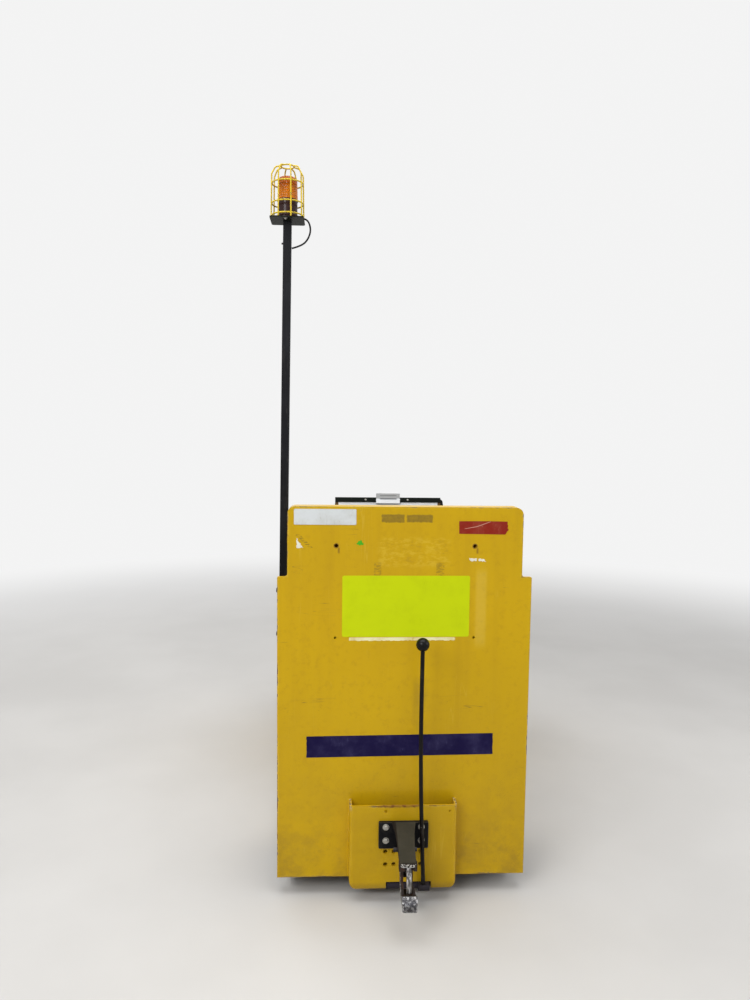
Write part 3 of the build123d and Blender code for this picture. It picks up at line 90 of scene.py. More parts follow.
class Wire:
    """A value on its way through a finish. It takes part in sums as a number does."""

    def __init__(self, finish, socket):
        self.finish = finish
        self.socket = socket

    def sum(self, operation, *others, first=None):
        values = ([first] if first is not None else []) + [self] + list(others)
        return self.finish.node("Math", {"operation": operation}, dict(enumerate(values)))

    def __add__(self, other):
        return self.sum("ADD", other)

    def __radd__(self, other):
        return self.sum("ADD", first=other)

    def __sub__(self, other):
        return self.sum("SUBTRACT", other)

    def __rsub__(self, other):
        return self.sum("SUBTRACT", first=other)

    def __mul__(self, other):
        return self.sum("MULTIPLY", other)

    def __rmul__(self, other):
        return self.sum("MULTIPLY", first=other)

    def __abs__(self):
        return self.sum("ABSOLUTE")

    def least(self, other):
        return self.sum("MINIMUM", other)

    def most(self, other):
        return self.sum("MAXIMUM", other)

    def reach(self, other):
        """The distance that this length and another make at a right angle."""
        return (self * self + other * other).sum("SQRT")

    def rise(self, low, high):
        """0 below low, 1 above high and smooth between them. It falls instead where low is above high."""
        turned = low > high
        ends = {0: self, 1: min(low, high), 2: max(low, high), 3: float(turned), 4: float(not turned)}
        return self.finish.node("MapRange", {"interpolation_type": "SMOOTHSTEP"}, ends)

    def within(self, low, high, soft):
        """1 between two limits, with soft borders."""
        return self.rise(low - soft, low + soft) * self.rise(high + soft, high - soft)


class Finish:
    """A material while it is made: its surface shader, and places measured on the object."""

    def __init__(self, name, roughness=0.5, metallic=0.0, **fixed):
        self.material = bpy.data.materials.new(name)
        self.material.use_nodes = True
        self.tree = self.material.node_tree
        self.surface = self.tree.nodes["Principled BSDF"]
        self.place = self.node("TexCoord", output="Object")
        parts = self.node("SeparateXYZ", None, {0: self.place}).socket.node.outputs
        self.x, self.y, self.z = (Wire(self, parts[axis]) for axis in "XYZ")
        self.set("Roughness", roughness)
        self.set("Metallic", metallic)
        self.set("Specular IOR Level", SPECULAR)
        for socket, value in fixed.items():
            self.set(socket.replace("_", " "), value)

    def node(self, kind, settings=None, sockets=None, output=0):
        """Adds a node, with its settings set first and then the values or links of its sockets."""
        made = self.tree.nodes.new("ShaderNode" + kind)
        for key, value in (settings or {}).items():
            setattr(made, key, value)
        for key, value in (sockets or {}).items():
            if isinstance(value, Wire):
                self.tree.links.new(value.socket, made.inputs[key])
            else:
                made.inputs[key].default_value = value
        return Wire(self, made.outputs[output])

    def set(self, socket, value):
        """Puts a number, a colour or a wire on the surface shader's socket."""
        if isinstance(value, Wire):
            self.tree.links.new(value.socket, self.surface.inputs[socket])
        else:
            self.surface.inputs[socket].default_value = value

    def stretched(self, x, y, z, turned=(0, 0, 0)):
        """The place with each axis multiplied, so that a pattern is drawn out along the small one."""
        return self.node("Mapping", None, {"Vector": self.place, "Scale": (x, y, z), "Rotation": turned})

    def grain(self, scale, detail=3.0, rough=0.5, place=None):
        sockets = {"Vector": place or self.place, "Scale": scale, "Detail": detail, "Roughness": rough}
        return self.node("TexNoise", None, sockets)

    def cells(self, scale):
        return self.node("TexVoronoi", None, {"Vector": self.place, "Scale": scale}, "Distance")

    def blend(self, share, under, over):
        """One colour laid over another, by a share from 0 to 1."""
        sockets = {0: share, 6: under, 7: over}
        return self.node("Mix", {"data_type": "RGBA", "clamp_factor": True}, sockets, 2)

    def relief(self, height, depth, under=None):
        """Raises the surface by a height from 0 to 1, times a depth in metres."""
        sockets = {"Height": height, "Distance": depth, "Strength": 1.0}
        if under is not None:
            sockets["Normal"] = under
        return self.node("Bump", None, sockets)

    def edge(self, low, high):
        """How far a point on a box's face is from the box's nearest edge."""
        a, b, c = (
            (axis - start).least(end - axis) for axis, start, end in zip((self.x, self.y, self.z), low, high)
        )
        return a.least(b).most(a.most(b).least(c))

    def done(self, colour, roughness=None, normal=None):
        self.set("Base Color", colour)
        if roughness is not None:
            self.set("Roughness", roughness)
        if normal is not None:
            self.set("Normal", normal)
        return self.material


BACKDROP = (0.90, 0.90, 0.90, 1)
WALL_LIGHT = (1.0, 1.0, 1.0, 1)
WALL_STRENGTH = 0.46
FLOOR = (0.60, 0.59, 0.575, 1)
FLOOR_STAIN = (0.50, 0.49, 0.475, 1)
FLOOR_FADE = (2.4, 6.5)
FLOOR_SIZE = 60.0
LAMPS = (
    ("ceiling", (-0.3, -0.9, 4.6), (0, -0.1, 0.6), (4.5, 3.5), 150),
    ("rear_fill", (-2.4, -3.9, 3.2), (0, -0.7, 0.8), (2.2, 1.8), 85),
    ("side_fill", (3.6, -1.6, 2.2), (0, 0, 0.8), (2.2, 2.2), 30),
    ("front_fill", (-2.4, 3.4, 2.8), (0, 0.4, 0.6), (2.4, 2.0), 35),
)


def seen_share(tree):
    """1 for rays that show a place to the camera, directly, in gloss or through glass."""
    rays = tree.nodes.new("ShaderNodeLightPath")
    share = rays.outputs["Is Camera Ray"]
    for name in ("Is Glossy Ray", "Is Transmission Ray"):
        both = tree.nodes.new("ShaderNodeMath")
        both.operation = "MAXIMUM"
        tree.links.new(share, both.inputs[0])
        tree.links.new(rays.outputs[name], both.inputs[1])
        share = both.outputs[0]
    return share


def floor_finish():
    finish = Finish("studio floor", roughness=0.75)
    cloud = finish.grain(1.3, 4.0).rise(0.3, 0.7) * 0.4
    finish.done(finish.blend(cloud, FLOOR, FLOOR_STAIN))
    away = finish.node("VectorMath", {"operation": "LENGTH"}, {0: finish.place}, "Value")
    far = away.rise(*FLOOR_FADE) * Wire(finish, seen_share(finish.tree))
    glow = finish.node("Emission", None, {"Color": BACKDROP, "Strength": 1.0})
    matt = Wire(finish, finish.surface.outputs[0])
    mixed = finish.node("MixShader", None, {0: far, 1: matt, 2: glow})
    finish.tree.links.new(mixed.socket, finish.tree.nodes["Material Output"].inputs["Surface"])
    return finish.material


def lamp(name, place, target, size, power):
    data = bpy.data.lights.new(name, "AREA")
    data.shape = "RECTANGLE"
    data.size, data.size_y = size
    data.energy = power
    made = bpy.data.objects.new(name, data)
    made.location = place
    made.rotation_euler = (Vector(target) - Vector(place)).to_track_quat("-Z", "Y").to_euler()
    scene.collection.objects.link(made)


bpy.ops.mesh.primitive_plane_add(size=FLOOR_SIZE)
floor = bpy.context.object
floor.name = "studio_floor"
floor.data.materials.append(floor_finish())
floor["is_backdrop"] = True

scene.world = bpy.data.worlds.new("studio")
scene.world.use_nodes = True
sky = scene.world.node_tree
light = sky.nodes["Background"]
light.inputs["Color"].default_value = WALL_LIGHT
light.inputs["Strength"].default_value = WALL_STRENGTH
shown = sky.nodes.new("ShaderNodeBackground")
shown.inputs["Color"].default_value = BACKDROP
shown.inputs["Strength"].default_value = 1.0
mixed_sky = sky.nodes.new("ShaderNodeMixShader")
sky.links.new(seen_share(sky), mixed_sky.inputs[0])
sky.links.new(light.outputs[0], mixed_sky.inputs[1])
sky.links.new(shown.outputs[0], mixed_sky.inputs[2])
sky.links.new(mixed_sky.outputs[0], sky.nodes["World Output"].inputs["Surface"])
for row in LAMPS:
    lamp(*row)


# Steel plate and sheet in yellow enamel
# The rear plate, the frame and all the sheet covers are sprayed with the same gloss enamel.
# It is rubbed bare along edges, scratched, flecked and a little grimy towards the floor.
YELLOW = (0.605, 0.378, 0.004, 1)
YELLOW_DULL = (0.500, 0.302, 0.006, 1)
YELLOW_PALE = (0.700, 0.500, 0.075, 1)
GRIME = (0.200, 0.125, 0.025, 1)
BARE_EDGE = (0.115, 0.098, 0.080, 1)
RUST = (0.135, 0.050, 0.018, 1)


def enamel_layers(finish, edge, wear):
    """Used enamel's colour, roughness and relief. Edge is the distance to the nearest edge."""
    broad = finish.grain(1.7, 3.0)
    streaks = finish.grain(1.0, 5.0, 0.6, finish.stretched(16, 16, 1.3))
    low_down_share = finish.z.rise(0.75, 0.05)
    faded = broad.rise(0.3, 0.75) + streaks.rise(0.4, 0.8)
    colour = finish.blend(faded * 0.45, YELLOW, YELLOW_DULL)
    mottle = finish.grain(48.0, 6.0, 0.75)
    colour = finish.blend(mottle.rise(0.5, 0.68) * 0.6, colour, YELLOW_DULL)
    specks = finish.cells(210.0).rise(0.16, 0.06) * finish.grain(9.0, 3.0).rise(0.42, 0.62)
    colour = finish.blend(specks * (0.35 + low_down_share) * wear, colour, GRIME)
    grime = finish.grain(5.0, 6.0, 0.65)
    colour = finish.blend(low_down_share * 0.28 * grime.rise(0.3, 0.7), colour, GRIME)
    rubs = finish.grain(1.0, 1.0, 0.5, finish.stretched(30, 30, 0.9, (0.10, 0.30, 0.0)))
    rub = abs(rubs - 0.5).rise(0.005, 0.0) * grime.rise(0.48, 0.60) * wear
    colour = finish.blend(rub * 0.22, colour, YELLOW_PALE)
    marks = finish.grain(1.0, 2.0, 0.5, finish.stretched(2.4, 30, 30, (0.0, 0.5, 0.1)))
    mark = abs(marks - 0.47).rise(0.005, 0.0) * grime.rise(0.55, 0.66) * wear
    flecks = finish.cells(95.0).rise(0.17, 0.08) * grime.rise(0.58, 0.72) * wear
    colour = finish.blend(mark.most(flecks) * 0.75, colour, GRIME)
    ragged = edge + (finish.grain(90.0, 4.0, 0.7) - 0.5) * 0.014 + (grime - 0.5) * 0.016
    knocked = finish.grain(4.5, 2.0).rise(0.44, 0.56) * 0.85 + 0.15
    halo = ragged.rise(0.0065, 0.002) * 0.45 * wear * knocked
    chip = ragged.rise(0.0022, 0.0008) * wear * knocked
    colour = finish.blend(halo, colour, YELLOW_PALE)
    bare = finish.blend(finish.grain(40.0).rise(0.4, 0.6), BARE_EDGE, RUST)
    colour = finish.blend(chip, colour, bare)
    rough = 0.27 + streaks * 0.12 + grime.rise(0.45, 0.75) * 0.14 + chip * 0.25
    normal = finish.relief(finish.grain(380.0, 1.0), 0.00007)
    normal = finish.relief(1 - chip, 0.0003, normal)
    return colour, rough, normal


def dress(node, material):
    """Gives a CAD node its finish."""
    nodes[node].data.materials.clear()
    nodes[node].data.materials.append(material)


def enamelled(wear, *names):
    """Sprays sheet pieces that are worn to the same share."""
    for name in names:
        finish = Finish(name.replace("_", " ") + " enamel", Coat_Weight=0.12, Coat_Roughness=0.12)
        dress(name, finish.done(*enamel_layers(finish, finish.edge(*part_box(name)), wear)))


enamelled(0.8, "tower_sides", "backrest_panel", "wheel_deck")


# Rear plate
# A twelve millimetre plate with two shoulders, which is the tractor's back and carries the hitch.
# It has had signs peeled off, so pale ghosts and brown glue are left in the enamel.
SHOULDER_Z, SHOULDER_STEP, SHOULDER_X = 1.064, 0.032, 0.372
GLUE = (0.235, 0.150, 0.016, 1)
GHOST = (0.690, 0.475, 0.045, 1)
# The next colour is both the smear on the peeled sign and the painted shadow behind the release rod.
SMEAR_AND_SHADOW = (0.330, 0.205, 0.020, 1)
GLUE_PATCHES = ((-0.078, -0.006, 1.239, 1.265), (0.002, 0.085, 1.240, 1.264))
PEELED_SIGN = (-0.088, 0.140, 1.098, 1.190)
GLUE_BARS = ((-0.101, -0.078, 1.068, 1.110), (0.098, 0.124, 1.068, 1.110))
GLUE_SLANT, GLUE_SLANT_ENDS = 0.8545, (1.157, 1.200)
BOLT_HOLES = ((-0.222, 1.164), (0.222, 1.164))


def rear_plate_finish():
    finish = Finish("rear plate enamel", Coat_Weight=0.12, Coat_Roughness=0.1)
    low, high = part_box("rear_plate")
    half = high[0] - finish.z.rise(SHOULDER_Z - 0.0005, SHOULDER_Z + 0.0005) * SHOULDER_STEP
    shoulder = abs(finish.z - SHOULDER_Z) + (abs(finish.x) - SHOULDER_X).rise(0.002, 0.0)
    sides = abs(half - abs(finish.x)).least(shoulder)
    ends = abs(finish.z - low[2]).least(abs(high[2] - finish.z))
    faces = abs(finish.y - REAR_FACE_Y).least(abs(high[1] - finish.y))
    edge = sides.least(ends).most(sides.most(ends).least(faces))
    colour, rough, normal = enamel_layers(finish, edge, 1.0)
    rear = finish.y.rise(REAR_FACE_Y + 0.0008, REAR_FACE_Y + 0.0004)
    ragged = finish.grain(60.0, 5.0, 0.65) - 0.5
    for x0, x1, z0, z1 in GLUE_PATCHES:
        x, z = finish.x + ragged * 0.012, finish.z + ragged * 0.010
        patch = x.within(x0, x1, 0.002) * z.within(z0, z1, 0.002) * rear
        colour = finish.blend(patch * (0.55 + finish.grain(120.0) * 0.6), colour, GLUE)
        rough = rough + patch * 0.3
    x0, x1, z0, z1 = PEELED_SIGN
    scuffs = finish.grain(1.0, 5.0, 0.7, finish.stretched(40, 40, 90))
    field = finish.x.within(x0, x1, 0.012) * finish.z.within(z0, z1, 0.010) * rear
    colour = finish.blend(field * scuffs.rise(0.46, 0.62) * 0.38, colour, GHOST)
    colour = finish.blend(field * scuffs.rise(0.44, 0.34) * 0.30, colour, SMEAR_AND_SHADOW)
    rungs = finish.grain(1.0, 3.0, 0.6, finish.stretched(60, 60, 260)).rise(0.44, 0.56)
    for x0, x1, z0, z1 in GLUE_BARS:
        bar = finish.x.within(x0, x1, 0.002) * finish.z.within(z0, z1, 0.004) * rear
        colour = finish.blend(bar * rungs * 0.6, colour, GLUE)
    slant = (finish.x + finish.z - GLUE_SLANT).within(-0.007, 0.007, 0.002)
    slant = slant * finish.z.within(*GLUE_SLANT_ENDS, 0.002)
    colour = finish.blend(slant * rungs * 0.8 * rear, colour, GLUE)
    for x, z in BOLT_HOLES:
        away = (finish.x - x).reach(finish.z - z) + ragged * 0.006
        drip = (finish.x - (x + 0.008)).within(-0.003, 0.003, 0.002)
        drip = drip * finish.z.within(z - 0.024, z - 0.006, 0.003)
        colour = finish.blend(away.rise(0.0105, 0.0065).most(drip * 0.7) * rear * 0.8, colour, RUST)
    # Painted reflection: a pale patch of sheen on the rear face, to the right of the lime sign.
    sheen_patch = finish.x.within(0.228, 0.262, 0.006) * finish.z.within(0.84, 1.085, 0.02) * rear
    colour = finish.blend(sheen_patch * (0.15 + scuffs * 0.35), colour, YELLOW_PALE)
    # Painted shadow of the release rod: a dark band on the rear face behind the rod.
    rod_shadow = (finish.x + ragged * 0.01).within(0.030, 0.075, 0.008) * finish.z.within(0.33, 0.86, 0.08)
    colour = finish.blend(rod_shadow * rear * finish.grain(9.0, 5.0).rise(0.45, 0.7) * 0.45, colour, SMEAR_AND_SHADOW)
    foot = finish.z.rise(0.36, 0.09) * finish.grain(13.0, 6.0, 0.7).rise(0.42, 0.66) * rear
    colour = finish.blend(foot * 0.35, colour, GRIME)
    return finish.done(colour, rough, normal)


dress("rear_plate", rear_plate_finish())


# Signs and tape on the rear plate
# Blank vinyl signs and strips of tape, each a film glued flat on the enamel, scratched and lifting.
# The red tape has torn at its right end, and four scraps of old labels are left.
FILM, PLATE_FILM, SCRATCH_FILM = 0.0005, 0.0012, 0.0007
RAGGED_STEP = 0.004
CORNER_STEPS = 5


def chassis_piece(name, mesh, material, smooth=False):
    """Makes a bmesh a piece of the chassis."""
    data = bpy.data.meshes.new(name)
    mesh.to_mesh(data)
    mesh.free()
    for face in data.polygons:
        face.use_smooth = smooth
    data.materials.append(material)
    made = bpy.data.objects.new(name, data)
    scene.collection.objects.link(made)
    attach(made, "chassis")


def prism(name, corners, push, material):
    """A flat outline's corners in order, pushed into a piece with a thickness."""
    mesh = bmesh.new()
    under = [mesh.verts.new(corner) for corner in corners]
    over = [mesh.verts.new(Vector(corner) + Vector(push)) for corner in corners]
    mesh.faces.new(under)
    mesh.faces.new(list(reversed(over)))
    for i, corner in enumerate(under):
        after = (i + 1) % len(under)
        mesh.faces.new((corner, over[i], over[after], under[after]))
    bmesh.ops.recalc_face_normals(mesh, faces=mesh.faces)
    chassis_piece(name, mesh, material)


def film(name, corners, material, thickness=FILM):
    """A thin film glued on the rear face, from its outline's corners (x, z)."""
    prism(name, [(x, REAR_FACE_Y, z) for x, z in corners], (0, -thickness, 0), material)


def rounded_corners(x0, x1, z0, z1, radius):
    """An upright sign's outline with round corners."""
    corners = []
    for cx, cz, start in ((x1, z1, 0), (x0, z1, 90), (x0, z0, 180), (x1, z0, 270)):
        ix = cx - radius if cx == x1 else cx + radius
        iz = cz - radius if cz == z1 else cz + radius
        for step in range(CORNER_STEPS + 1):
            angle = radians(start + 90 * step / CORNER_STEPS)
            corners.append((ix + radius * cos(angle), iz + radius * sin(angle)))
    return corners


def torn(corners, seed, reach, sides):
    """The outline with some of its sides torn. Sides are numbers of corners."""
    chance = random.Random(seed)
    ragged = []
    for i, (x, z) in enumerate(corners):
        ragged.append((x, z))
        if i not in sides:
            continue
        x1, z1 = corners[(i + 1) % len(corners)]
        length = hypot(x1 - x, z1 - z)
        across = ((z1 - z) / length, -(x1 - x) / length)
        steps = max(2, int(length / RAGGED_STEP))
        for step in range(1, steps):
            share, push = step / steps, chance.uniform(-reach, reach)
            along = (x + (x1 - x) * share, z + (z1 - z) * share)
            ragged.append((along[0] + across[0] * push, along[1] + across[1] * push))
    return ragged


def vinyl(name, colour, stain, low, high, streak=0.4, dirt=0.4, rough=0.38):
    """Plain vinyl film, stained, rubbed at its edges and scratched."""
    finish = Finish(name)
    wash = finish.grain(14.0, 5.0, 0.6)
    lines = finish.grain(1.0, 3.0, 0.5, finish.stretched(60, 60, 9, (0, 0.5, 0)))
    shade = finish.blend(wash.rise(0.4, 0.75) * dirt, colour, stain)
    scratch = abs(lines - 0.5).rise(0.010, 0.0) * wash.rise(0.5, 0.6)
    shade = finish.blend(scratch * streak, shade, stain)
    border = finish.edge(low, high) + (finish.grain(70.0, 4.0) - 0.5) * 0.01
    shade = finish.blend(border.rise(0.004, 0.0) * dirt, shade, stain)
    return finish.done(shade, rough + wash * 0.2, finish.relief(finish.grain(45.0), 0.0002))


def sign(name, size, corners, colour, stain, *looks, thickness=FILM):
    """A blank sign or a scrap: its film lies inside a size, from left to right and from foot to top."""
    x0, x1, z0, z1 = size
    low, high = (x0, REAR_FACE_Y - 1.0, z0), (x1, REAR_FACE_Y + 1.0, z1)
    film(name, corners, vinyl(name.replace("_", " ") + " film", colour, stain, low, high, *looks), thickness)


LIME = (0.560, 0.660, 0.003, 1)
LIME_DULL = (0.440, 0.520, 0.004, 1)
WHITE = (0.660, 0.690, 0.700, 1)
WHITE_DULL = (0.400, 0.395, 0.340, 1)
RED = (0.250, 0.018, 0.009, 1)
RED_PALE = (0.420, 0.160, 0.100, 1)
RED_SCRATCHED = (0.620, 0.330, 0.250, 1)
BLUE = (0.006, 0.003, 0.040, 1)
BLUE_PALE = (0.045, 0.040, 0.110, 1)
OLD_PAPER = (0.780, 0.760, 0.640, 1)
STRIP_CREAM = (0.850, 0.820, 0.480, 1)
GREEN_SCRAP = (0.060, 0.420, 0.020, 1)
LIME_SIZE = (-0.202, 0.208, 0.869, 1.068)
PLATE_SIZE = (-0.356, -0.159, 1.231, 1.281)
STRIP_SIZE = (-0.179, 0.164, 0.856, 0.867)
STRIP_CORNERS = [(-0.179, 0.867), (-0.179, 0.856), (0.164, 0.857), (0.164, 0.867)]
TAPE_SIZE = (0.169, 0.328, 1.202, 1.245)
TAPE_CORNERS = [
    (0.169, 1.2445), (0.170, 1.204), (0.318, 1.202), (0.328, 1.215), (0.325, 1.244), (0.262, 1.245),
]
BLUE_SIZE = (-0.314, 0.295, 0.469, 0.546)
BLUE_CORNERS = [(-0.314, 0.540), (-0.314, 0.469), (0.295, 0.475), (0.295, 0.546)]
SCRAP_SIZE = (-0.4, 0.4, 1.0, 1.3)
SCRATCH_SIZE = (0, 1, 1, 2)
SCRATCH_CORNERS = [
    (0.187, 1.2195), (0.228, 1.2265), (0.270, 1.2425), (0.270, 1.2440), (0.226, 1.2285), (0.187, 1.2205),
]
PAPER_LOOK = (OLD_PAPER, GLUE, 0.6, 0.3, 0.6)
SCRAPS = (
    ("left_label_scrap", [(-0.348, 1.188), (-0.347, 1.156), (-0.326, 1.156)], PAPER_LOOK, 21),
    (
        "middle_label_scrap", [(-0.158, 1.172), (-0.148, 1.164), (-0.134, 1.170), (-0.144, 1.183)],
        (GREEN_SCRAP, GLUE, 0.6, 0.6), 22,
    ),
    ("right_label_scrap", [(0.204, 1.126), (0.208, 1.117), (0.228, 1.116), (0.229, 1.125)], PAPER_LOOK, 23),
    ("right_label_corner", [(0.235, 1.124), (0.234, 1.117), (0.260, 1.114), (0.250, 1.123)], PAPER_LOOK, 24),
)

sign("lime_sign", LIME_SIZE, rounded_corners(*LIME_SIZE, 0.006), LIME, LIME_DULL, 0.35, 0.30, 0.30)
plate_corners = rounded_corners(*PLATE_SIZE, 0.003)
sign("white_plate", PLATE_SIZE, plate_corners, WHITE, WHITE_DULL, 0.5, 0.45, 0.34, thickness=PLATE_FILM)
strip_corners = torn(STRIP_CORNERS, 4, 0.0012, (1, 2))
sign("white_strip", STRIP_SIZE, strip_corners, STRIP_CREAM, YELLOW_DULL, 0.7, 0.8)
sign("red_tape", TAPE_SIZE, torn(TAPE_CORNERS, 9, 0.0018, (2, 3)), RED, RED_PALE, 0.9, 0.22, 0.45)
sign("blue_strip", BLUE_SIZE, torn(BLUE_CORNERS, 2, 0.0008, (0, 2)), BLUE, BLUE_PALE, 0.7, 0.5, 0.36)
for name, corners, look, seed in SCRAPS:
    sign(name, SCRAP_SIZE, torn(corners, seed, 0.002, range(len(corners))), *look)
sign("red_tape_scratch", SCRATCH_SIZE, SCRATCH_CORNERS, RED_SCRATCHED, RED, thickness=SCRATCH_FILM)


# Back pad
# A foam slab in black vinyl on the tower's slope, which the driver leans on, piped round its front.
# It is stapled to a board and buttoned nowhere, so its middle stands proud.
PAD_VOXEL = 0.006
PAD_PRESSURE = 4.0
PAD_CAP = 0.007
PAD_SHRINK = 0.985
PIPING = 0.0035
SEAM_INSET, GROOVE_HALF, GROOVE_DEPTH = 0.010, 0.007, 0.010
EDGE_REACH, EDGE_DROP = 0.10, 0.006
FOAM_STEPS = 20
VINYL_BLACK = (0.017, 0.017, 0.018, 1)
VINYL_WORN = (0.050, 0.048, 0.046, 1)


def vinyl_cover(name):
    finish = Finish(name, Coat_Weight=0.08, Coat_Roughness=0.3)
    worn = finish.grain(7.0, 5.0, 0.6)
    colour = finish.blend(worn.rise(0.45, 0.75) * 0.6, VINYL_BLACK, VINYL_WORN)
    hide = finish.cells(420.0)
    creases = abs(finish.grain(26.0, 3.0) - 0.5).rise(0.02, 0.0) * worn.rise(0.5, 0.65)
    normal = finish.relief(hide, 0.0002)
    return finish.done(colour, 0.38 + worn * 0.25, finish.relief(1 - creases, 0.0003, normal))


def merged_copy(node, name):
    """A copy of a CAD node's mesh, with its loose triangles joined."""
    made = bpy.data.objects.new(name, nodes[node].data.copy())
    made.matrix_world = nodes[node].matrix_world.copy()
    scene.collection.objects.link(made)
    made.data.materials.clear()
    mesh = bmesh.new()
    mesh.from_mesh(made.data)
    bmesh.ops.remove_doubles(mesh, verts=mesh.verts, dist=1e-5)
    mesh.to_mesh(made.data)
    mesh.free()
    return made


def settle(made):
    """Turns an object's modifiers into its mesh."""
    graph = bpy.context.evaluated_depsgraph_get()
    settled = made.evaluated_get(graph)
    data = bpy.data.meshes.new_from_object(settled, preserve_all_data_layers=True, depsgraph=graph)
    made.modifiers.clear()
    old, made.data = made.data, data
    if isinstance(old, bpy.types.Mesh):
        bpy.data.meshes.remove(old)


def tube_curve(name, route, radius, roundness, steps):
    """A round tube as a curve along a smooth route of points, and its spline."""
    curve = bpy.data.curves.new(name, "CURVE")
    curve.dimensions = "3D"
    curve.bevel_depth = radius
    curve.bevel_resolution = roundness
    run = curve.splines.new("NURBS")
    run.points.add(len(route) - 1)
    for point, place in zip(run.points, route):
        point.co = (*place, 1.0)
    run.order_u = 3
    run.resolution_u = steps
    tube = bpy.data.objects.new(name, curve)
    scene.collection.objects.link(tube)
    return tube, run


def piped_ring(name, route, material):
    """A closed round bead along a route of points."""
    tube, run = tube_curve(name, route, PIPING, 3, 6)
    run.use_cyclic_u = True
    graph = bpy.context.evaluated_depsgraph_get()
    made = bpy.data.objects.new(name, bpy.data.meshes.new_from_object(tube.evaluated_get(graph)))
    bpy.data.objects.remove(tube)
    scene.collection.objects.link(made)
    for face in made.data.polygons:
        face.use_smooth = True
    made.data.materials.clear()
    made.data.materials.append(material)
    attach(made, "chassis")


def foam_pad(node, name, outward, size, corner, material):
    """A padded cover in place of a CAD slab, from the way it faces, its width and height, and corner radius.

    Foam fills it like a light pressure. All of it behind the seam is stapled to its board.
    """
    pad = merged_copy(node, name)
    low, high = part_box(node)
    middle = (Vector(low) + Vector(high)) / 2
    outward = Vector(outward).normalized()
    upward = outward.cross(Vector((1, 0, 0))).normalized()
    if upward.z < 0:
        upward.negate()
    depths = [(v.co - middle).dot(outward) for v in pad.data.vertices]
    back, front = min(depths), max(depths)
    for vertex in pad.data.vertices:
        vertex.co = middle + (vertex.co - middle) * PAD_SHRINK
    remesh = pad.modifiers.new("even mesh", "REMESH")
    remesh.mode = "VOXEL"
    remesh.voxel_size = PAD_VOXEL
    settle(pad)
    rest = [vertex.co.copy() for vertex in pad.data.vertices]
    seam_depth = front - SEAM_INSET
    board = pad.vertex_groups.new(name="stapled to the board")
    behind = [i for i, place in enumerate(rest) if (place - middle).dot(outward) < seam_depth]
    board.add(behind, 1.0, "REPLACE")
    cloth = pad.modifiers.new("foam", "CLOTH")
    cloth.settings.vertex_group_mass = board.name
    cloth.settings.use_pressure = True
    cloth.settings.uniform_pressure_force = PAD_PRESSURE
    cloth.settings.effector_weights.gravity = 0.0
    for step in range(1, FOAM_STEPS + 1):
        scene.frame_set(step)
    settle(pad)
    pad.vertex_groups.clear()
    scene.frame_set(1)
    half_width, half_height = size[0] / 2, size[1] / 2
    for vertex, start in zip(pad.data.vertices, rest):
        move = vertex.co - start
        if move.length > PAD_CAP:
            move *= PAD_CAP / move.length
        place = start + move - middle
        across, along, depth = place.x, place.dot(upward), place.dot(outward)
        near_side = 1 - min(half_width - abs(across), half_height - abs(along), EDGE_REACH) / EDGE_REACH
        depth = max(back, depth - EDGE_DROP * max(0.0, near_side) ** 2 * (depth > seam_depth - 0.02))
        groove = max(0.0, 1 - abs(depth - seam_depth) / GROOVE_HALF) * (near_side > 0.9)
        shrink = 1 - GROOVE_DEPTH * groove
        vertex.co = middle + Vector((across * shrink, 0, 0)) + upward * along * shrink + outward * depth
    smooth = pad.modifiers.new("smooth", "SUBSURF")
    smooth.levels = smooth.render_levels = 1
    settle(pad)
    for face in pad.data.polygons:
        face.use_smooth = True
    pad.data.materials.clear()
    pad.data.materials.append(material)
    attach(pad, "chassis")
    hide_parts(node)
    route = []
    for x, z, start in ((1, 1, 0), (-1, 1, 90), (-1, -1, 180), (1, -1, 270)):
        for turn in (5, 30, 60, 85):
            angle = radians(start + turn)
            across = x * (half_width - corner) + corner * cos(angle)
            along = z * (half_height - corner) + corner * sin(angle)
            across, along = across * PAD_SHRINK, along * PAD_SHRINK
            route.append(middle + Vector((across, 0, 0)) + upward * along + outward * (seam_depth - 0.001))
    piped_ring(name + "_piping", route, material)


cover_black = vinyl_cover("black vinyl cover")
TOWER_SLOPE = atan2(0.130 - 0.062, 1.262 - 0.700)
tower_facing = (0, cos(TOWER_SLOPE), sin(TOWER_SLOPE))
foam_pad("backrest_pad", "back_pad", tower_facing, (0.580, 0.470), 0.040, cover_black)


# Side frame and bumper
# One band of plate is bent round the nose and welded to the rear plate, with a rubber bumper bolted on it.
# The band takes the knocks, so it is chipped along its foot and dusty.
RUBBER_BLACK = (0.022, 0.022, 0.023, 1)
RUBBER_DUSTY = (0.085, 0.080, 0.072, 1)
BOLT_WELL = (0.006, 0.006, 0.006, 1)
SUNK_HEAD = (0.16, 0.15, 0.14, 1)
NOSE_FACE_Y, BUMPER_BOLT_X, BUMPER_MIDDLE_Z = 0.985, 0.160, 0.190


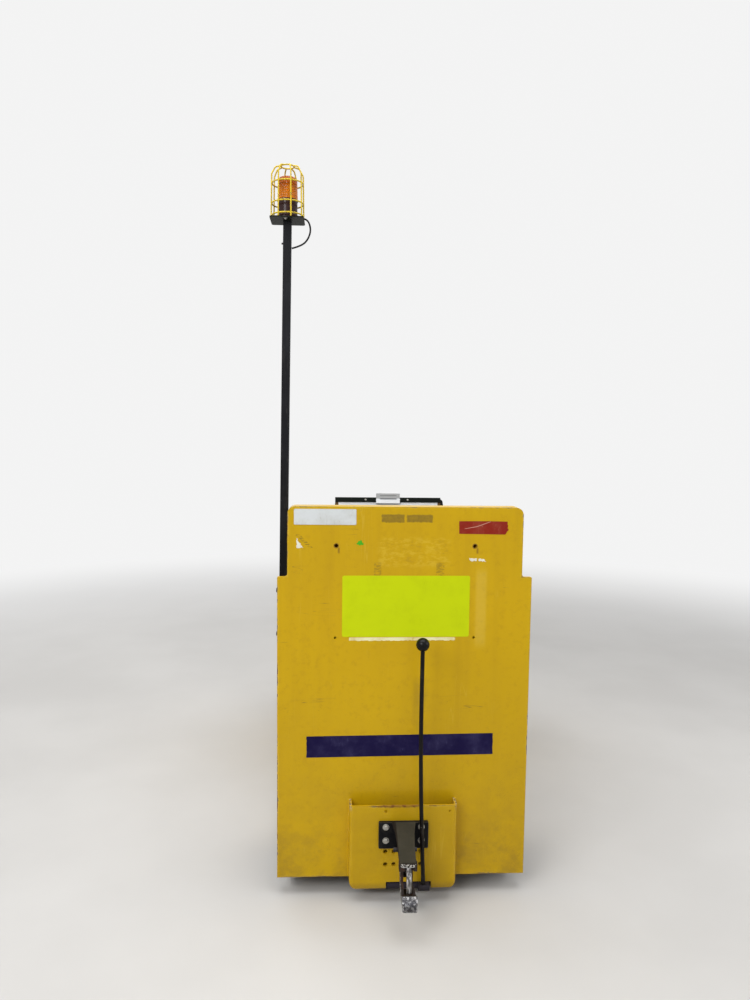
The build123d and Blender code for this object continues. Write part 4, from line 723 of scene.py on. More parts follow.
def bumper_finish():
    """Scuffed rubber with four sunk bolt heads, which stand at equal steps across the nose."""
    finish = Finish("bumper rubber and bolts")
    cloud = finish.grain(11.0, 5.0, 0.6)
    scuffs = finish.grain(1.0, 5.0, 0.7, finish.stretched(14, 14, 120))
    dusty = cloud.rise(0.4, 0.75) * 0.4 + scuffs.rise(0.56, 0.66) * 0.45
    colour = finish.blend(dusty, RUBBER_BLACK, RUBBER_DUSTY)
    ahead = finish.y.rise(NOSE_FACE_Y - 0.003, NOSE_FACE_Y - 0.002)
    across = abs(abs(abs(finish.x) - BUMPER_BOLT_X) - BUMPER_BOLT_X / 2)
    away = across.reach(finish.z - BUMPER_MIDDLE_Z)
    well, head = away.rise(0.0125, 0.0115) * ahead, away.rise(0.0082, 0.0074) * ahead
    colour = finish.blend(well, colour, BOLT_WELL)
    colour = finish.blend(head, colour, SUNK_HEAD)
    finish.set("Metallic", head * 0.8)
    normal = finish.relief(finish.cells(260.0), 0.00015)
    normal = finish.relief(1 - well + head * 0.7, 0.004, normal)
    return finish.done(colour, 0.6 + cloud * 0.25 - head * 0.3, normal)


enamelled(1.2, "side_frame")
dress("bumper", bumper_finish())


class Recipe:
    """A Geometry Nodes tree while it is made, with its sizes as named inputs."""

    def __init__(self, name, **sizes):
        self.tree = bpy.data.node_groups.new(name, "GeometryNodeTree")
        face = self.tree.interface
        face.new_socket("Geometry", in_out="INPUT", socket_type="NodeSocketGeometry")
        self.keys = {}
        for key, value in sizes.items():
            kind = "NodeSocketInt" if isinstance(value, int) else "NodeSocketFloat"
            socket = face.new_socket(key, in_out="INPUT", socket_type=kind)
            socket.default_value = value
            self.keys[key] = socket.identifier
        face.new_socket("Geometry", in_out="OUTPUT", socket_type="NodeSocketGeometry")
        self.start = self.tree.nodes.new("NodeGroupInput").outputs
        self.end = self.tree.nodes.new("NodeGroupOutput").inputs

    def node(self, kind, settings=None, sockets=None, output=0):
        made = self.tree.nodes.new(kind)
        for key, value in (settings or {}).items():
            setattr(made, key, value)
        for key, value in (sockets or {}).items():
            if isinstance(value, bpy.types.NodeSocket):
                self.tree.links.new(value, made.inputs[key])
            else:
                made.inputs[key].default_value = value
        return made.outputs[output]

    def math(self, operation, *values):
        return self.node("ShaderNodeMath", {"operation": operation}, dict(enumerate(values)))

    def lifted(self, geometry, height):
        """The geometry moved up its own axis."""
        offset = self.node("ShaderNodeCombineXYZ", None, {"Z": height})
        return self.node("GeometryNodeTransform", None, {"Geometry": geometry, "Translation": offset})

    def joined(self, *geometries):
        join = self.tree.nodes.new("GeometryNodeJoinGeometry")
        for geometry in geometries:
            self.tree.links.new(geometry, join.inputs[0])
        return join.outputs[0]

    def close(self, geometry):
        """Ends the tree in real meshes with the piece's own material."""
        real = self.node("GeometryNodeRealizeInstances", None, {"Geometry": geometry})
        self.paint = self.tree.nodes.new("GeometryNodeSetMaterial")
        self.tree.links.new(real, self.paint.inputs["Geometry"])
        self.tree.links.new(self.paint.outputs[0], self.end[0])

    def make(self, name, mesh, body, material, **sizes):
        """Runs the tree on a mesh and returns the result as a plain piece that rides on a body."""
        made = bpy.data.objects.new(name, mesh)
        scene.collection.objects.link(made)
        self.paint.inputs["Material"].default_value = material
        run = made.modifiers.new(self.tree.name, "NODES")
        run.node_group = self.tree
        for key, value in sizes.items():
            run[self.keys[key]] = value
        settle(made)
        if not made.data.materials:
            made.data.materials.append(material)
        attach(made, body)


def facing_points(name, places):
    """Loose points, each with the way it faces."""
    data = bpy.data.meshes.new(name)
    data.from_pydata([place for place, _ in places], [], [])
    facing = data.attributes.new("facing", "FLOAT_VECTOR", "POINT")
    for item, (_, direction) in zip(facing.data, places):
        item.vector = direction
    return data


def on_points(recipe, geometry):
    """Copies of a geometry on the piece's points, turned the way that each point faces."""
    facing = recipe.node("GeometryNodeInputNamedAttribute", {"data_type": "FLOAT_VECTOR"}, {"Name": "facing"})
    turned = recipe.node("FunctionNodeAlignRotationToVector", {"axis": "Z"}, {"Vector": facing})
    sockets = {"Points": recipe.start["Geometry"], "Instance": geometry, "Rotation": turned}
    return recipe.node("GeometryNodeInstanceOnPoints", None, sockets)


def hex_bolt_recipe():
    """A hexagon head with its chamfer on a round washer."""
    recipe = Recipe("hexagon bolts", across=0.019, head=0.008, washer=0.0125, plate=0.002)
    across, head, washer, plate = (recipe.start[key] for key in ("across", "head", "washer", "plate"))
    radius = recipe.math("MULTIPLY", across, 0.577)
    body = recipe.math("MULTIPLY", head, 0.8)
    cap = recipe.math("MULTIPLY", head, 0.2)
    disc = recipe.node("GeometryNodeMeshCylinder", None, {"Vertices": 28, "Radius": washer, "Depth": plate})
    hexagon = recipe.node("GeometryNodeMeshCylinder", None, {"Vertices": 6, "Radius": radius, "Depth": body})
    top = recipe.math("MULTIPLY", radius, 0.86)
    sockets = {"Vertices": 6, "Radius Bottom": radius, "Radius Top": top, "Depth": cap}
    chamfer = recipe.node("GeometryNodeMeshCone", None, sockets)
    bolt = recipe.joined(
        recipe.lifted(disc, recipe.math("MULTIPLY", plate, 0.5)),
        recipe.lifted(hexagon, recipe.math("ADD", plate, recipe.math("MULTIPLY", body, 0.5))),
        recipe.lifted(chamfer, recipe.math("ADD", plate, body)),
    )
    recipe.close(on_points(recipe, bolt))
    return recipe


def bolt_steel(name, colour, rust):
    finish = Finish(name, metallic=0.75)
    cloud = finish.grain(160.0, 4.0)
    shade = finish.blend(cloud.rise(0.5, 0.7) * rust, colour, RUST)
    return finish.done(shade, 0.34 + cloud * 0.3, finish.relief(cloud, 0.00015))


hex_bolts = hex_bolt_recipe()
zinc = bolt_steel("zinc plated bolts", (0.42, 0.41, 0.37, 1), 0.35)
black_bolt = bolt_steel("blackened bolts", (0.045, 0.045, 0.048, 1), 0.25)
WHEEL_NUT = {"across": 0.019, "head": 0.010, "washer": 0.012, "plate": 0.0015}


def bolts(name, places, material, body="chassis", **sizes):
    """Hexagon heads, each at a place and turned the way that it faces."""
    hex_bolts.make(name, facing_points(name + " points", places), body, material, **sizes)


def bolt_circle(count, first, radius, centre, facing):
    """Places at equal steps on a circle, from a first angle in degrees, that face along x or z."""
    places = []
    for index in range(count):
        angle = radians(first + 360 / count * index)
        a, b = radius * cos(angle), radius * sin(angle)
        shift = (0, a, b) if facing[0] else (a, b, 0)
        places.append(([middle + step for middle, step in zip(centre, shift)], facing))
    return places


def weld_recipe():
    """A weld's overlapping ripples: round drops set close along a line."""
    recipe = Recipe("weld ripples", pitch=0.0022, drop=0.0034, seed=3)
    run = recipe.node("GeometryNodeMeshToCurve", None, {"Mesh": recipe.start["Geometry"]})
    pitch, radius, seed = (recipe.start[key] for key in ("pitch", "drop", "seed"))
    evenly = recipe.node("GeometryNodeResampleCurve", {"mode": "LENGTH"}, {"Curve": run, "Length": pitch})
    drop = recipe.node("GeometryNodeMeshUVSphere", None, {"Segments": 8, "Rings": 5, "Radius": radius})
    size = recipe.node("FunctionNodeRandomValue", {"data_type": "FLOAT"}, {2: 0.82, 3: 1.15, "Seed": seed}, 1)
    sockets = {"Points": evenly, "Instance": drop, "Scale": size}
    recipe.close(recipe.node("GeometryNodeInstanceOnPoints", None, sockets))
    return recipe


def line_mesh(name, runs):
    """Edges along one or more runs of points."""
    data = bpy.data.meshes.new(name)
    points, edges = [], []
    for run in runs:
        start = len(points)
        points += run
        edges += [(start + i, start + i + 1) for i in range(len(run) - 1)]
    data.from_pydata(points, edges, [])
    return data


def weld_finish():
    finish = Finish("painted weld", Coat_Weight=0.2)
    cloud = finish.grain(60.0, 4.0, 0.6)
    colour = finish.blend(cloud.rise(0.45, 0.7) * 0.5, YELLOW, YELLOW_DULL)
    colour = finish.blend(finish.grain(220.0, 4.0, 0.7).rise(0.58, 0.68) * 0.6, colour, BARE_EDGE)
    return finish.done(colour, 0.35 + cloud * 0.2, finish.relief(cloud, 0.0004))


welds = weld_recipe()
weld_paint = weld_finish()


# Wheel deck, axle and rear wheels
# A deck of sheet closes the box over the wheels, and a dead axle runs through two webs to the two wheels.
# The wheels are cast discs with a hub cap and four nuts each, on tyres that are pressed on.
BLACK_PAINT = (0.018, 0.018, 0.020, 1)
BLACK_DUSTY = (0.070, 0.064, 0.055, 1)
TYRE_BLACK = (0.026, 0.026, 0.027, 1)
TYRE_GREY = (0.110, 0.103, 0.092, 1)


def paint_black(node, paint=None, wear=0.8, dust=0.5, rough=0.36, colour=BLACK_PAINT):
    """Satin black paint on a CAD node of steel, dusty, with its edges rubbed to metal."""
    finish = Finish(paint or node.replace("_", " ") + " paint")
    cloud = finish.grain(8.0, 5.0, 0.6)
    fine = finish.grain(90.0, 4.0, 0.65)
    shade = finish.blend(cloud.rise(0.42, 0.75) * dust * 0.6, colour, BLACK_DUSTY)
    edge = finish.edge(*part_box(node)) + (fine - 0.5) * 0.010 + (cloud - 0.5) * 0.012
    chip = edge.rise(0.0030, 0.0010) * wear
    lines = finish.grain(1.0, 3.0, 0.5, finish.stretched(40, 40, 3, (0.2, 0.3, 0)))
    scratch = abs(lines - 0.5).rise(0.005, 0.0)
    shade = finish.blend(scratch * cloud.rise(0.45, 0.6) * 0.4 * wear, shade, BLACK_DUSTY)
    shade = finish.blend(chip, shade, finish.blend(fine.rise(0.45, 0.6), BARE_EDGE, RUST))
    normal = finish.relief(finish.grain(300.0, 2.0), 0.00010)
    normal = finish.relief(1 - chip, 0.0002, normal)
    dress(node, finish.done(shade, rough + cloud * 0.22 + chip * 0.2, normal))


def tyre_finish(name, centre, width):
    """Solid rubber: a scuffed tread, moulded rings on the walls and dust on the rest."""
    finish = Finish(name)
    radius = (finish.y - centre[1]).reach(finish.z - centre[2])
    cloud = finish.grain(16.0, 6.0, 0.65)
    wall = abs(finish.x - centre[0]).rise(width / 2 - 0.006, width / 2 - 0.001)
    tread = 1 - wall
    colour = finish.blend(cloud.rise(0.35, 0.75) * (0.35 + tread * 0.5), TYRE_BLACK, TYRE_GREY)
    rings = (radius * 1400.0).sum("SINE") * 0.5 + 0.5
    normal = finish.relief(rings * wall, 0.0004)
    cuts = finish.cells(70.0).rise(0.2, 0.05) * tread
    normal = finish.relief(1 - cuts * cloud.rise(0.45, 0.6), 0.0008, normal)
    return finish.done(colour, 0.62 + cloud * 0.25, finish.relief(cloud, 0.0005, normal))


for name in ("rear_axle", "rear_wheel_left", "rear_wheel_right"):
    paint_black(name, wear=0.7, dust=0.9)
REAR_WHEEL_X, REAR_AXLE_Y, REAR_AXLE_Z = 0.331, -0.540, 0.127
REAR_TYRE_WIDTH, NUT_RING, NUT_FACE = 0.100, 0.066, 0.0201
for side, word in ((-1, "left"), (1, "right")):
    centre = (side * REAR_WHEEL_X, REAR_AXLE_Y, REAR_AXLE_Z)
    dress("rear_tyre_" + word, tyre_finish(word + " rear tyre rubber", centre, REAR_TYRE_WIDTH))
    face = (side * (REAR_WHEEL_X + NUT_FACE), REAR_AXLE_Y, REAR_AXLE_Z)
    ring = bolt_circle(4, 45, NUT_RING, face, (side, 0, 0))
    bolts("rear_wheel_nuts_" + word, ring, black_bolt, "rear_wheel_" + word, **WHEEL_NUT)


# Platform, mat and brake pedal
# The driver stands on a floor plate with a ribbed rubber mat, with a low rubbered pedal let into it.
# Boots have polished the mat's ribs and packed dust between them.
def mat_finish():
    finish = Finish("ribbed mat rubber")
    cloud = finish.grain(9.0, 5.0, 0.6)
    ribs = finish.z.rise(0.1565, 0.1585)
    colour = finish.blend(cloud.rise(0.35, 0.7) * (0.85 - ribs * 0.6), RUBBER_BLACK, RUBBER_DUSTY)
    pimples = finish.cells(150.0).rise(0.45, 0.15)
    return finish.done(colour, 0.8 - ribs * 0.25, finish.relief(pimples, 0.0004))


paint_black("platform_floor", wear=1.0, dust=1.0)
dress("floor_mat", mat_finish())


def pedal_finish():
    finish = Finish("ribbed pedal rubber")
    cloud = finish.grain(14.0, 5.0, 0.6)
    ribs = (finish.y * 520.0).sum("SINE").rise(-0.3, 0.5)
    colour = finish.blend(cloud.rise(0.4, 0.7) * (0.75 - ribs * 0.45), RUBBER_BLACK, RUBBER_DUSTY)
    return finish.done(colour, 0.75 - ribs * 0.2, finish.relief(ribs, 0.0012))


dress("foot_pedal", pedal_finish())


# Bulkhead and knee pad
# The sheet wall in front of the driver, closed at its top by the console, with a foam pad for the knees.
# Its vinyl is the same as the back pad's.
enamelled(0.7, "bulkhead")
foam_pad("knee_pad", "knee_pad_cover", (0, -1, 0), (0.620, 0.400), 0.030, cover_black)


# Battery and its bed
# A lead battery in a coated steel case, rolled in from the side. Its twelve cells show once the lid is up.
# Each cell has a moulded lid with a vent cap, and insulated bars join their posts.
CASE_GREY = (0.055, 0.060, 0.066, 1)
ACID_BLOOM = (0.300, 0.310, 0.300, 1)
CELL_BLACK = (0.020, 0.020, 0.022, 1)
BATTERY_MIDDLE_Y, BATTERY_TOP_Z = 0.319, 0.938
CELL_PITCH_X, CELL_PITCH_Y = 0.126, 0.166
BAR_RED = (0.120, 0.012, 0.010, 1)
BAR_SIDE, BAR_HALF, BAR_END = 0.058, 0.009, 0.022
BAR_FOOT, BAR_TOP = 0.0038, 0.014


def battery_finish():
    finish = Finish("battery case coating")
    cloud = finish.grain(6.0, 5.0, 0.6)
    streaks = finish.grain(1.0, 4.0, 0.6, finish.stretched(30, 30, 2.0))
    bloom = finish.z.rise(0.55, 0.93) * streaks.rise(0.5, 0.7) * 0.5
    colour = finish.blend(bloom, finish.blend(cloud * 0.3, CASE_GREY, BLACK_DUSTY), ACID_BLOOM)
    edge = finish.edge(*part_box("battery")) + (finish.grain(80.0) - 0.5) * 0.01
    colour = finish.blend(edge.rise(0.003, 0.001), colour, RUST)
    return finish.done(colour, 0.42 + cloud * 0.2, finish.relief(finish.grain(240.0), 0.0001))


def cell_lid_recipe():
    """Rows of lids, each with its vent cap, on a grid of points."""
    recipe = Recipe("battery cells", length=0.152, width=0.116, height=0.004, cap=0.019)
    length, width, height, cap = (recipe.start[key] for key in ("length", "width", "height", "cap"))
    size = recipe.node("ShaderNodeCombineXYZ", None, {"X": width, "Y": length, "Z": height})
    lid = recipe.node("GeometryNodeMeshCube", None, {"Size": size})
    top = recipe.math("MULTIPLY", cap, 0.84)
    sockets = {"Vertices": 20, "Radius Bottom": cap, "Radius Top": top, "Depth": 0.009}
    vent = recipe.node("GeometryNodeMeshCone", None, sockets)
    knob = recipe.node("GeometryNodeMeshCylinder", None, {"Vertices": 12, "Radius": 0.006, "Depth": 0.005})
    cell = recipe.joined(
        recipe.lifted(lid, recipe.math("MULTIPLY", height, 0.5)),
        recipe.lifted(vent, height),
        recipe.lifted(knob, recipe.math("ADD", height, 0.0105)),
    )
    recipe.close(on_points(recipe, cell))
    return recipe


def moulded(name, colour, worn, grain=330.0, dust=0.4, rough=0.5, **fixed):
    """Moulded plastic: a fine grain in its skin, and dust."""
    finish = Finish(name, **fixed)
    cloud = finish.grain(10.0, 5.0, 0.6)
    shade = finish.blend(cloud.rise(0.45, 0.75) * dust, colour, worn)
    normal = finish.relief(finish.cells(grain), 0.00012)
    return finish.done(shade, rough + cloud * 0.2, normal)


paint_black("battery_bed", wear=1.2, dust=1.0)
dress("battery", battery_finish())
cell_black = moulded("battery cell lids", CELL_BLACK, ACID_BLOOM, dust=0.25)
cell_centres = [
    (column * CELL_PITCH_X, BATTERY_MIDDLE_Y + row * CELL_PITCH_Y)
    for row in (-0.5, 0.5) for column in (-2.5, -1.5, -0.5, 0.5, 1.5, 2.5)
]
cell_places = [((x, y, BATTERY_TOP_Z), (0, 0, 1)) for x, y in cell_centres]
cell_lid_recipe().make("battery_cells", facing_points("cell points", cell_places), "chassis", cell_black)


def slab(low, high, bevel, name, material):
    """A small block with bevelled edges."""
    mesh = bmesh.new()
    bmesh.ops.create_cube(mesh, size=1.0)
    for vertex in mesh.verts:
        vertex.co = [(a + b) / 2 + c * (b - a) for a, b, c in zip(low, high, vertex.co)]
    bmesh.ops.bevel(mesh, geom=mesh.edges[:], offset=bevel, segments=3, profile=0.6, affect="EDGES")
    chassis_piece(name, mesh, material)


LATHE_STEPS = 36


def turned_piece(name, profile, centre, material):
    """A piece turned on a lathe about an upright axis, from corners (radius, height)."""
    mesh = bmesh.new()
    rings = []
    for radius, height in profile:
        ring = []
        for step in range(LATHE_STEPS if radius else 1):
            angle = 2 * pi * step / LATHE_STEPS
            place = (centre[0] + radius * cos(angle), centre[1] + radius * sin(angle), centre[2] + height)
            ring.append(mesh.verts.new(place))
        rings.append(ring)
    for lower, upper in zip(rings, rings[1:]):
        for step in range(LATHE_STEPS):
            sides = ((lower, step), (lower, step + 1), (upper, step + 1), (upper, step))
            corners = [ring[i % len(ring)] for ring, i in sides]
            mesh.faces.new(list(dict.fromkeys(corners)))
    bmesh.ops.recalc_face_normals(mesh, faces=mesh.faces)
    chassis_piece(name, mesh, material, smooth=True)


bar_red = moulded("insulated cell bars", BAR_RED, BLACK_DUSTY, dust=0.5)
for index, (x, y) in enumerate(cell_centres[:-1]):
    next_x, next_y = cell_centres[index + 1]
    if next_y == y:
        middle_y = y + BAR_SIDE * (-1) ** index
        low = (x + BAR_END, middle_y - BAR_HALF, BATTERY_TOP_Z + BAR_FOOT)
        high = (next_x - BAR_END, middle_y + BAR_HALF, BATTERY_TOP_Z + BAR_TOP)
        slab(low, high, 0.003, f"cell_bar_{index}", bar_red)


# Side gates, battery cover and front wall
# Two gates drop into the bay's sides and lift out for the battery, and a hinged sheet lid covers it.
# The front wall behind the battery carries the hood's hinges.
enamelled(1.1, "side_gate_left", "side_gate_right", "battery_cover", "front_wall")


# Drive hood
# A welded sheet hood over the motor, with pressed louvres in its nose, on three hinges.
# Two quarter turn screws hold its foot.
enamelled(0.9, "drive_hood")
HOOD_SCREWS = [((x, 0.9731, 0.372), (0, 1, 0)) for x in (-0.27, 0.27)]
bolts("hood_screws", HOOD_SCREWS, zinc, "hood", across=0.010, head=0.003, washer=0.011, plate=0.0012)


# Drive mount, gear case, motor and drive wheel
# The gear case turns in a ring on the mount's plate, with the motor upright on it and the wheel below.
# It is painted machine grey, and oil has crept out round its joints.
MACHINE_GREY = (0.068, 0.070, 0.074, 1)
# The next colour is both real oil and, on the hitch, painted shade.
OIL_AND_SHADE_DARK = (0.012, 0.011, 0.010, 1)
DRIVE_Y, DRIVE_AXLE_Z, TURNTABLE_TOP_Z, MOTOR_TOP_Z = 0.705, 0.165, 0.452, 0.690
TURNTABLE_RING, DRIVE_NUT_RING, DRIVE_NUT_X, DRIVE_TYRE_WIDTH = 0.124, 0.080, -0.0241, 0.124
POST_Z = MOTOR_TOP_Z - 0.004


def machine_paint(name, oil_z):
    finish = Finish(name)
    cloud = finish.grain(9.0, 5.0, 0.6)
    fine = finish.grain(120.0, 3.0)
    oil = (finish.z + (cloud - 0.5) * 0.12).rise(oil_z, oil_z - 0.05) * cloud.rise(0.35, 0.6)
    colour = finish.blend(cloud.rise(0.45, 0.7) * 0.4, MACHINE_GREY, BLACK_DUSTY)
    colour = finish.blend(oil * 0.8, colour, OIL_AND_SHADE_DARK)
    normal = finish.relief(fine, 0.0003)
    return finish.done(colour, 0.55 - oil * 0.25 + fine * 0.1, normal)


paint_black("drive_mount", wear=0.6, dust=1.0)
dress("drive_unit", machine_paint("gear case paint", 0.30))
dress("drive_motor", machine_paint("motor paint", 0.50))
paint_black("drive_wheel", wear=0.5, dust=0.9)
dress("drive_tyre", tyre_finish("drive tyre rubber", (0, DRIVE_Y, DRIVE_AXLE_Z), DRIVE_TYRE_WIDTH))
ring = bolt_circle(12, 15, TURNTABLE_RING, (0, DRIVE_Y, TURNTABLE_TOP_Z), (0, 0, 1))
turntable_bolt = {"across": 0.013, "head": 0.007, "washer": 0.0105, "plate": 0.0012}
bolts("turntable_bolts", ring, black_bolt, "steered_drive", **turntable_bolt)
ring = bolt_circle(6, 0, DRIVE_NUT_RING, (DRIVE_NUT_X, DRIVE_Y, DRIVE_AXLE_Z), (-1, 0, 0))
bolts("drive_wheel_nuts", ring, black_bolt, "drive_wheel", **WHEEL_NUT)
copper = bolt_steel("copper motor posts", (0.42, 0.20, 0.09, 1), 0.2)
posts = [((x, DRIVE_Y + y, POST_Z), (0, 0, 1)) for x, y in ((-0.055, 0), (0.055, 0), (0, 0.055))]
bolts("motor_posts", posts, copper, "steered_drive", across=0.013, head=0.014, washer=0.011, plate=0.003)


# Console
# A moulded pod over the bulkhead with a key switch, a stop button, a horn button and a small display.
# A clipboard leans on its riser, with a black bar, a paper and a spring clip.
PLASTIC_BLACK = (0.014, 0.014, 0.015, 1)
PLASTIC_WORN = (0.075, 0.073, 0.070, 1)
STOP_RED = (0.420, 0.014, 0.010, 1)
STOP_RED_WORN = (0.30, 0.05, 0.04, 1)
HORN_GREY = (0.09, 0.09, 0.09, 1)
DISPLAY_GREEN = (0.035, 0.048, 0.042, 1)
BOARD_BROWN = (0.130, 0.075, 0.035, 1)
BAR_BLACK = (0.006, 0.008, 0.006, 1)
CLIP_STEEL = (0.66, 0.67, 0.68, 1)
CLIP_SHADE = (0.16, 0.17, 0.18, 1)
BOARD_FOOT_Z, BOARD_LEAN, BOARD_FACE_Y = 1.150, 0.0842, 0.0560


def control_finish():
    """One moulding colour for all four controls: the stop button red, the rest black."""
    finish = Finish("console control plastic", Coat_Weight=0.25)
    stop = finish.x.rise(-0.1650, -0.1655)
    cloud = finish.grain(60.0, 4.0)
    colour = finish.blend(stop, PLASTIC_BLACK, STOP_RED)
    glass = finish.x.within(-0.058, 0.058, 0.0003) * finish.y.within(0.0, 0.043, 0.0003)
    colour = finish.blend(glass, colour, DISPLAY_GREEN)
    colour = finish.blend(cloud.rise(0.55, 0.75) * 0.3, colour, PLASTIC_WORN)
    return finish.done(colour, 0.34 - glass * 0.2 + cloud * 0.15, finish.relief(cloud, 0.0001))


def clipboard_finish():
    """Brown board, black bar at its top and the bright clip on it."""
    finish = Finish("clipboard board and clip")
    before_bar = (finish.z - BOARD_FOOT_Z) * BOARD_LEAN + BOARD_FACE_Y - finish.y
    bar = finish.z.rise(1.2308, 1.2312)
    proud = finish.z.rise(1.2525, 1.2530).most(before_bar.rise(0.0, 0.0004))
    clip = finish.x.within(-0.0561, 0.0441, 0.0002) * proud
    fine = finish.grain(1.0, 3.0, 0.5, finish.stretched(8, 200, 200))
    colour = finish.blend(bar, BOARD_BROWN, BAR_BLACK)
    # Painted shade: two darker bands across the steel clip.
    shaded_bands = finish.z.within(1.244, 1.249, 0.0015).most(finish.z.within(1.2595, 1.2615, 0.0008))
    steel = finish.blend(shaded_bands * finish.x.within(-0.040, 0.030, 0.003), CLIP_STEEL, CLIP_SHADE)
    colour = finish.blend(clip, colour, steel)
    finish.set("Metallic", clip * 0.8)
    return finish.done(colour, 0.5 - clip * 0.22 + fine * 0.12, finish.relief(fine, 0.00005))


dress("console", moulded("console plastic", PLASTIC_BLACK, PLASTIC_WORN, 260.0, 0.3, 0.46))
dress("console_controls", control_finish())
STOP_CAP = (
    (0.0, -0.003), (0.0205, -0.003), (0.0232, 0.0), (0.0232, 0.004), (0.019, 0.008), (0.010, 0.0105),
    (0.0, 0.0112),
)
HORN_CAP = ((0.0, 0.0), (0.0100, 0.0), (0.0100, 0.002), (0.006, 0.0036), (0.0, 0.0042))
stop_plastic = moulded("stop button cap", STOP_RED, STOP_RED_WORN, 400.0, 0.4, 0.28, Coat_Weight=0.2)
turned_piece("stop_button_cap", STOP_CAP, (-0.190, -0.015, 1.1622), stop_plastic)
horn_plastic = moulded("horn button plastic", HORN_GREY, PLASTIC_WORN, 400.0, 0.3, 0.3)
turned_piece("horn_button_cap", HORN_CAP, (0.140, -0.025, 1.1470), horn_plastic)
slab((-0.1411, -0.0255, 1.1485), (-0.1389, -0.0045, 1.1690), 0.0007, "switch_key", zinc)
dress("clipboard", clipboard_finish())
PAPER_WHITE = (0.780, 0.790, 0.800, 1)
PAPER_STAIN = (0.560, 0.550, 0.500, 1)
PAPER_LEFT, PAPER_RIGHT, PAPER_FOOT, PAPER_TOP = -0.214, 0.204, 1.186, 1.232
PAPER_FOOT_Y, PAPER_THICKNESS = 0.0601, 0.0007
paper_low, paper_high = (PAPER_LEFT, -1, PAPER_FOOT), (PAPER_RIGHT, 1, PAPER_TOP)
paper = vinyl("blank paper", PAPER_WHITE, PAPER_STAIN, paper_low, paper_high, 0.2, 0.2)
paper_sides = ((PAPER_LEFT, 1), (PAPER_RIGHT, 1), (PAPER_RIGHT, 0), (PAPER_LEFT, 0))
paper_corners = []
for x, at_foot in paper_sides:
    z = PAPER_FOOT if at_foot else PAPER_TOP - 0.0002
    paper_corners.append((x, PAPER_FOOT_Y + (z - BOARD_FOOT_Z) * BOARD_LEAN, z))
prism("clipboard_paper", paper_corners, (0, -PAPER_THICKNESS, 0), paper)
rivets = [((x, 0.0643, 1.2430), (0, -1, 0.08)) for x in (-0.100, 0.077)]
bolts("clipboard_rivets", rivets, zinc, across=0.005, head=0.0010, washer=0.0042, plate=0.0008)


# Steering handle
# A turning head on a collar, with a cross tube and two ribbed rubber grips.
# The grips are shiny where hands hold them.
def grip_finish():
    finish = Finish("ribbed grip rubber")
    ribs = (abs(finish.x) * 1150.0).sum("SINE") * 0.5 + 0.5
    worn = finish.grain(40.0, 4.0)
    colour = finish.blend(worn * 0.35, RUBBER_BLACK, RUBBER_DUSTY)
    return finish.done(colour, 0.5 + worn * 0.2 - ribs * 0.1, finish.relief(ribs, 0.0009))


dress("steering_column", moulded("steering collar plastic", PLASTIC_BLACK, PLASTIC_WORN, 260.0, 0.5, 0.44))
paint_black("steering_handle", "steering head paint", wear=0.6, dust=0.4)
dress("hand_grips", grip_finish())


# Hitch bracket
# A folded channel welded on the rear plate and drilled for the hitch at several heights.
# Its welds are chipped, its top edge is scraped to rust where drawbars have dropped on it.
BRACKET_HALF, BRACKET_TOP_Z, BRACKET_FOOT_Z = 0.174, 0.328, 0.050
SCRAPE = (0.170, 0.070, 0.022, 1)
PRIMER = (0.520, 0.500, 0.440, 1)


def bracket_finish():
    finish = Finish("hitch bracket enamel", Coat_Weight=0.1, Coat_Roughness=0.15)
    low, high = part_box("hitch_bracket")
    colour, rough, normal = enamel_layers(finish, finish.edge((low[0], low[1], BRACKET_FOOT_Z), high), 1.2)
    colour = finish.blend(0.30 + finish.grain(20.0, 5.0).rise(0.4, 0.7) * 0.3, colour, YELLOW_DULL)
    ragged = (finish.grain(70.0, 5.0, 0.7) - 0.5) * 0.014
    top = (finish.z + ragged).rise(BRACKET_TOP_Z - 0.008, BRACKET_TOP_Z - 0.002)
    scraped = top * (finish.x + ragged * 2).within(-0.075, 0.050, 0.02)
    colour = finish.blend(scraped * (0.5 + finish.grain(90.0, 3.0).rise(0.4, 0.6) * 0.5), colour, SCRAPE)
    at_weld = (abs(finish.x) + ragged * 2).rise(0.164, 0.172) * (finish.z + ragged * 2).rise(0.304, 0.322)
    colour = finish.blend(at_weld * finish.grain(260.0, 4.0, 0.7).rise(0.47, 0.56) * 0.65, colour, PRIMER)
    # Painted shade: the dark patches at the two top weld corners stand for shadow in the gaps there.
    colour = finish.blend(at_weld * finish.grain(150.0, 5.0, 0.7).rise(0.53, 0.58), colour, OIL_AND_SHADE_DARK)
    foot = (finish.z + ragged).rise(0.075, 0.052)
    colour = finish.blend(foot * 0.5, colour, GRIME)
    return finish.done(colour, rough + scraped * 0.2, normal)


dress("hitch_bracket", bracket_finish())
weld_runs = []
for side in (-1, 1):
    x = side * (BRACKET_HALF + 0.0012)
    weld_runs.append([(x, REAR_FACE_Y - 0.0012, z) for z in (0.066, 0.326)])
welds.make("bracket_welds", line_mesh("bracket weld lines", weld_runs), "chassis", weld_paint, drop=0.0030)


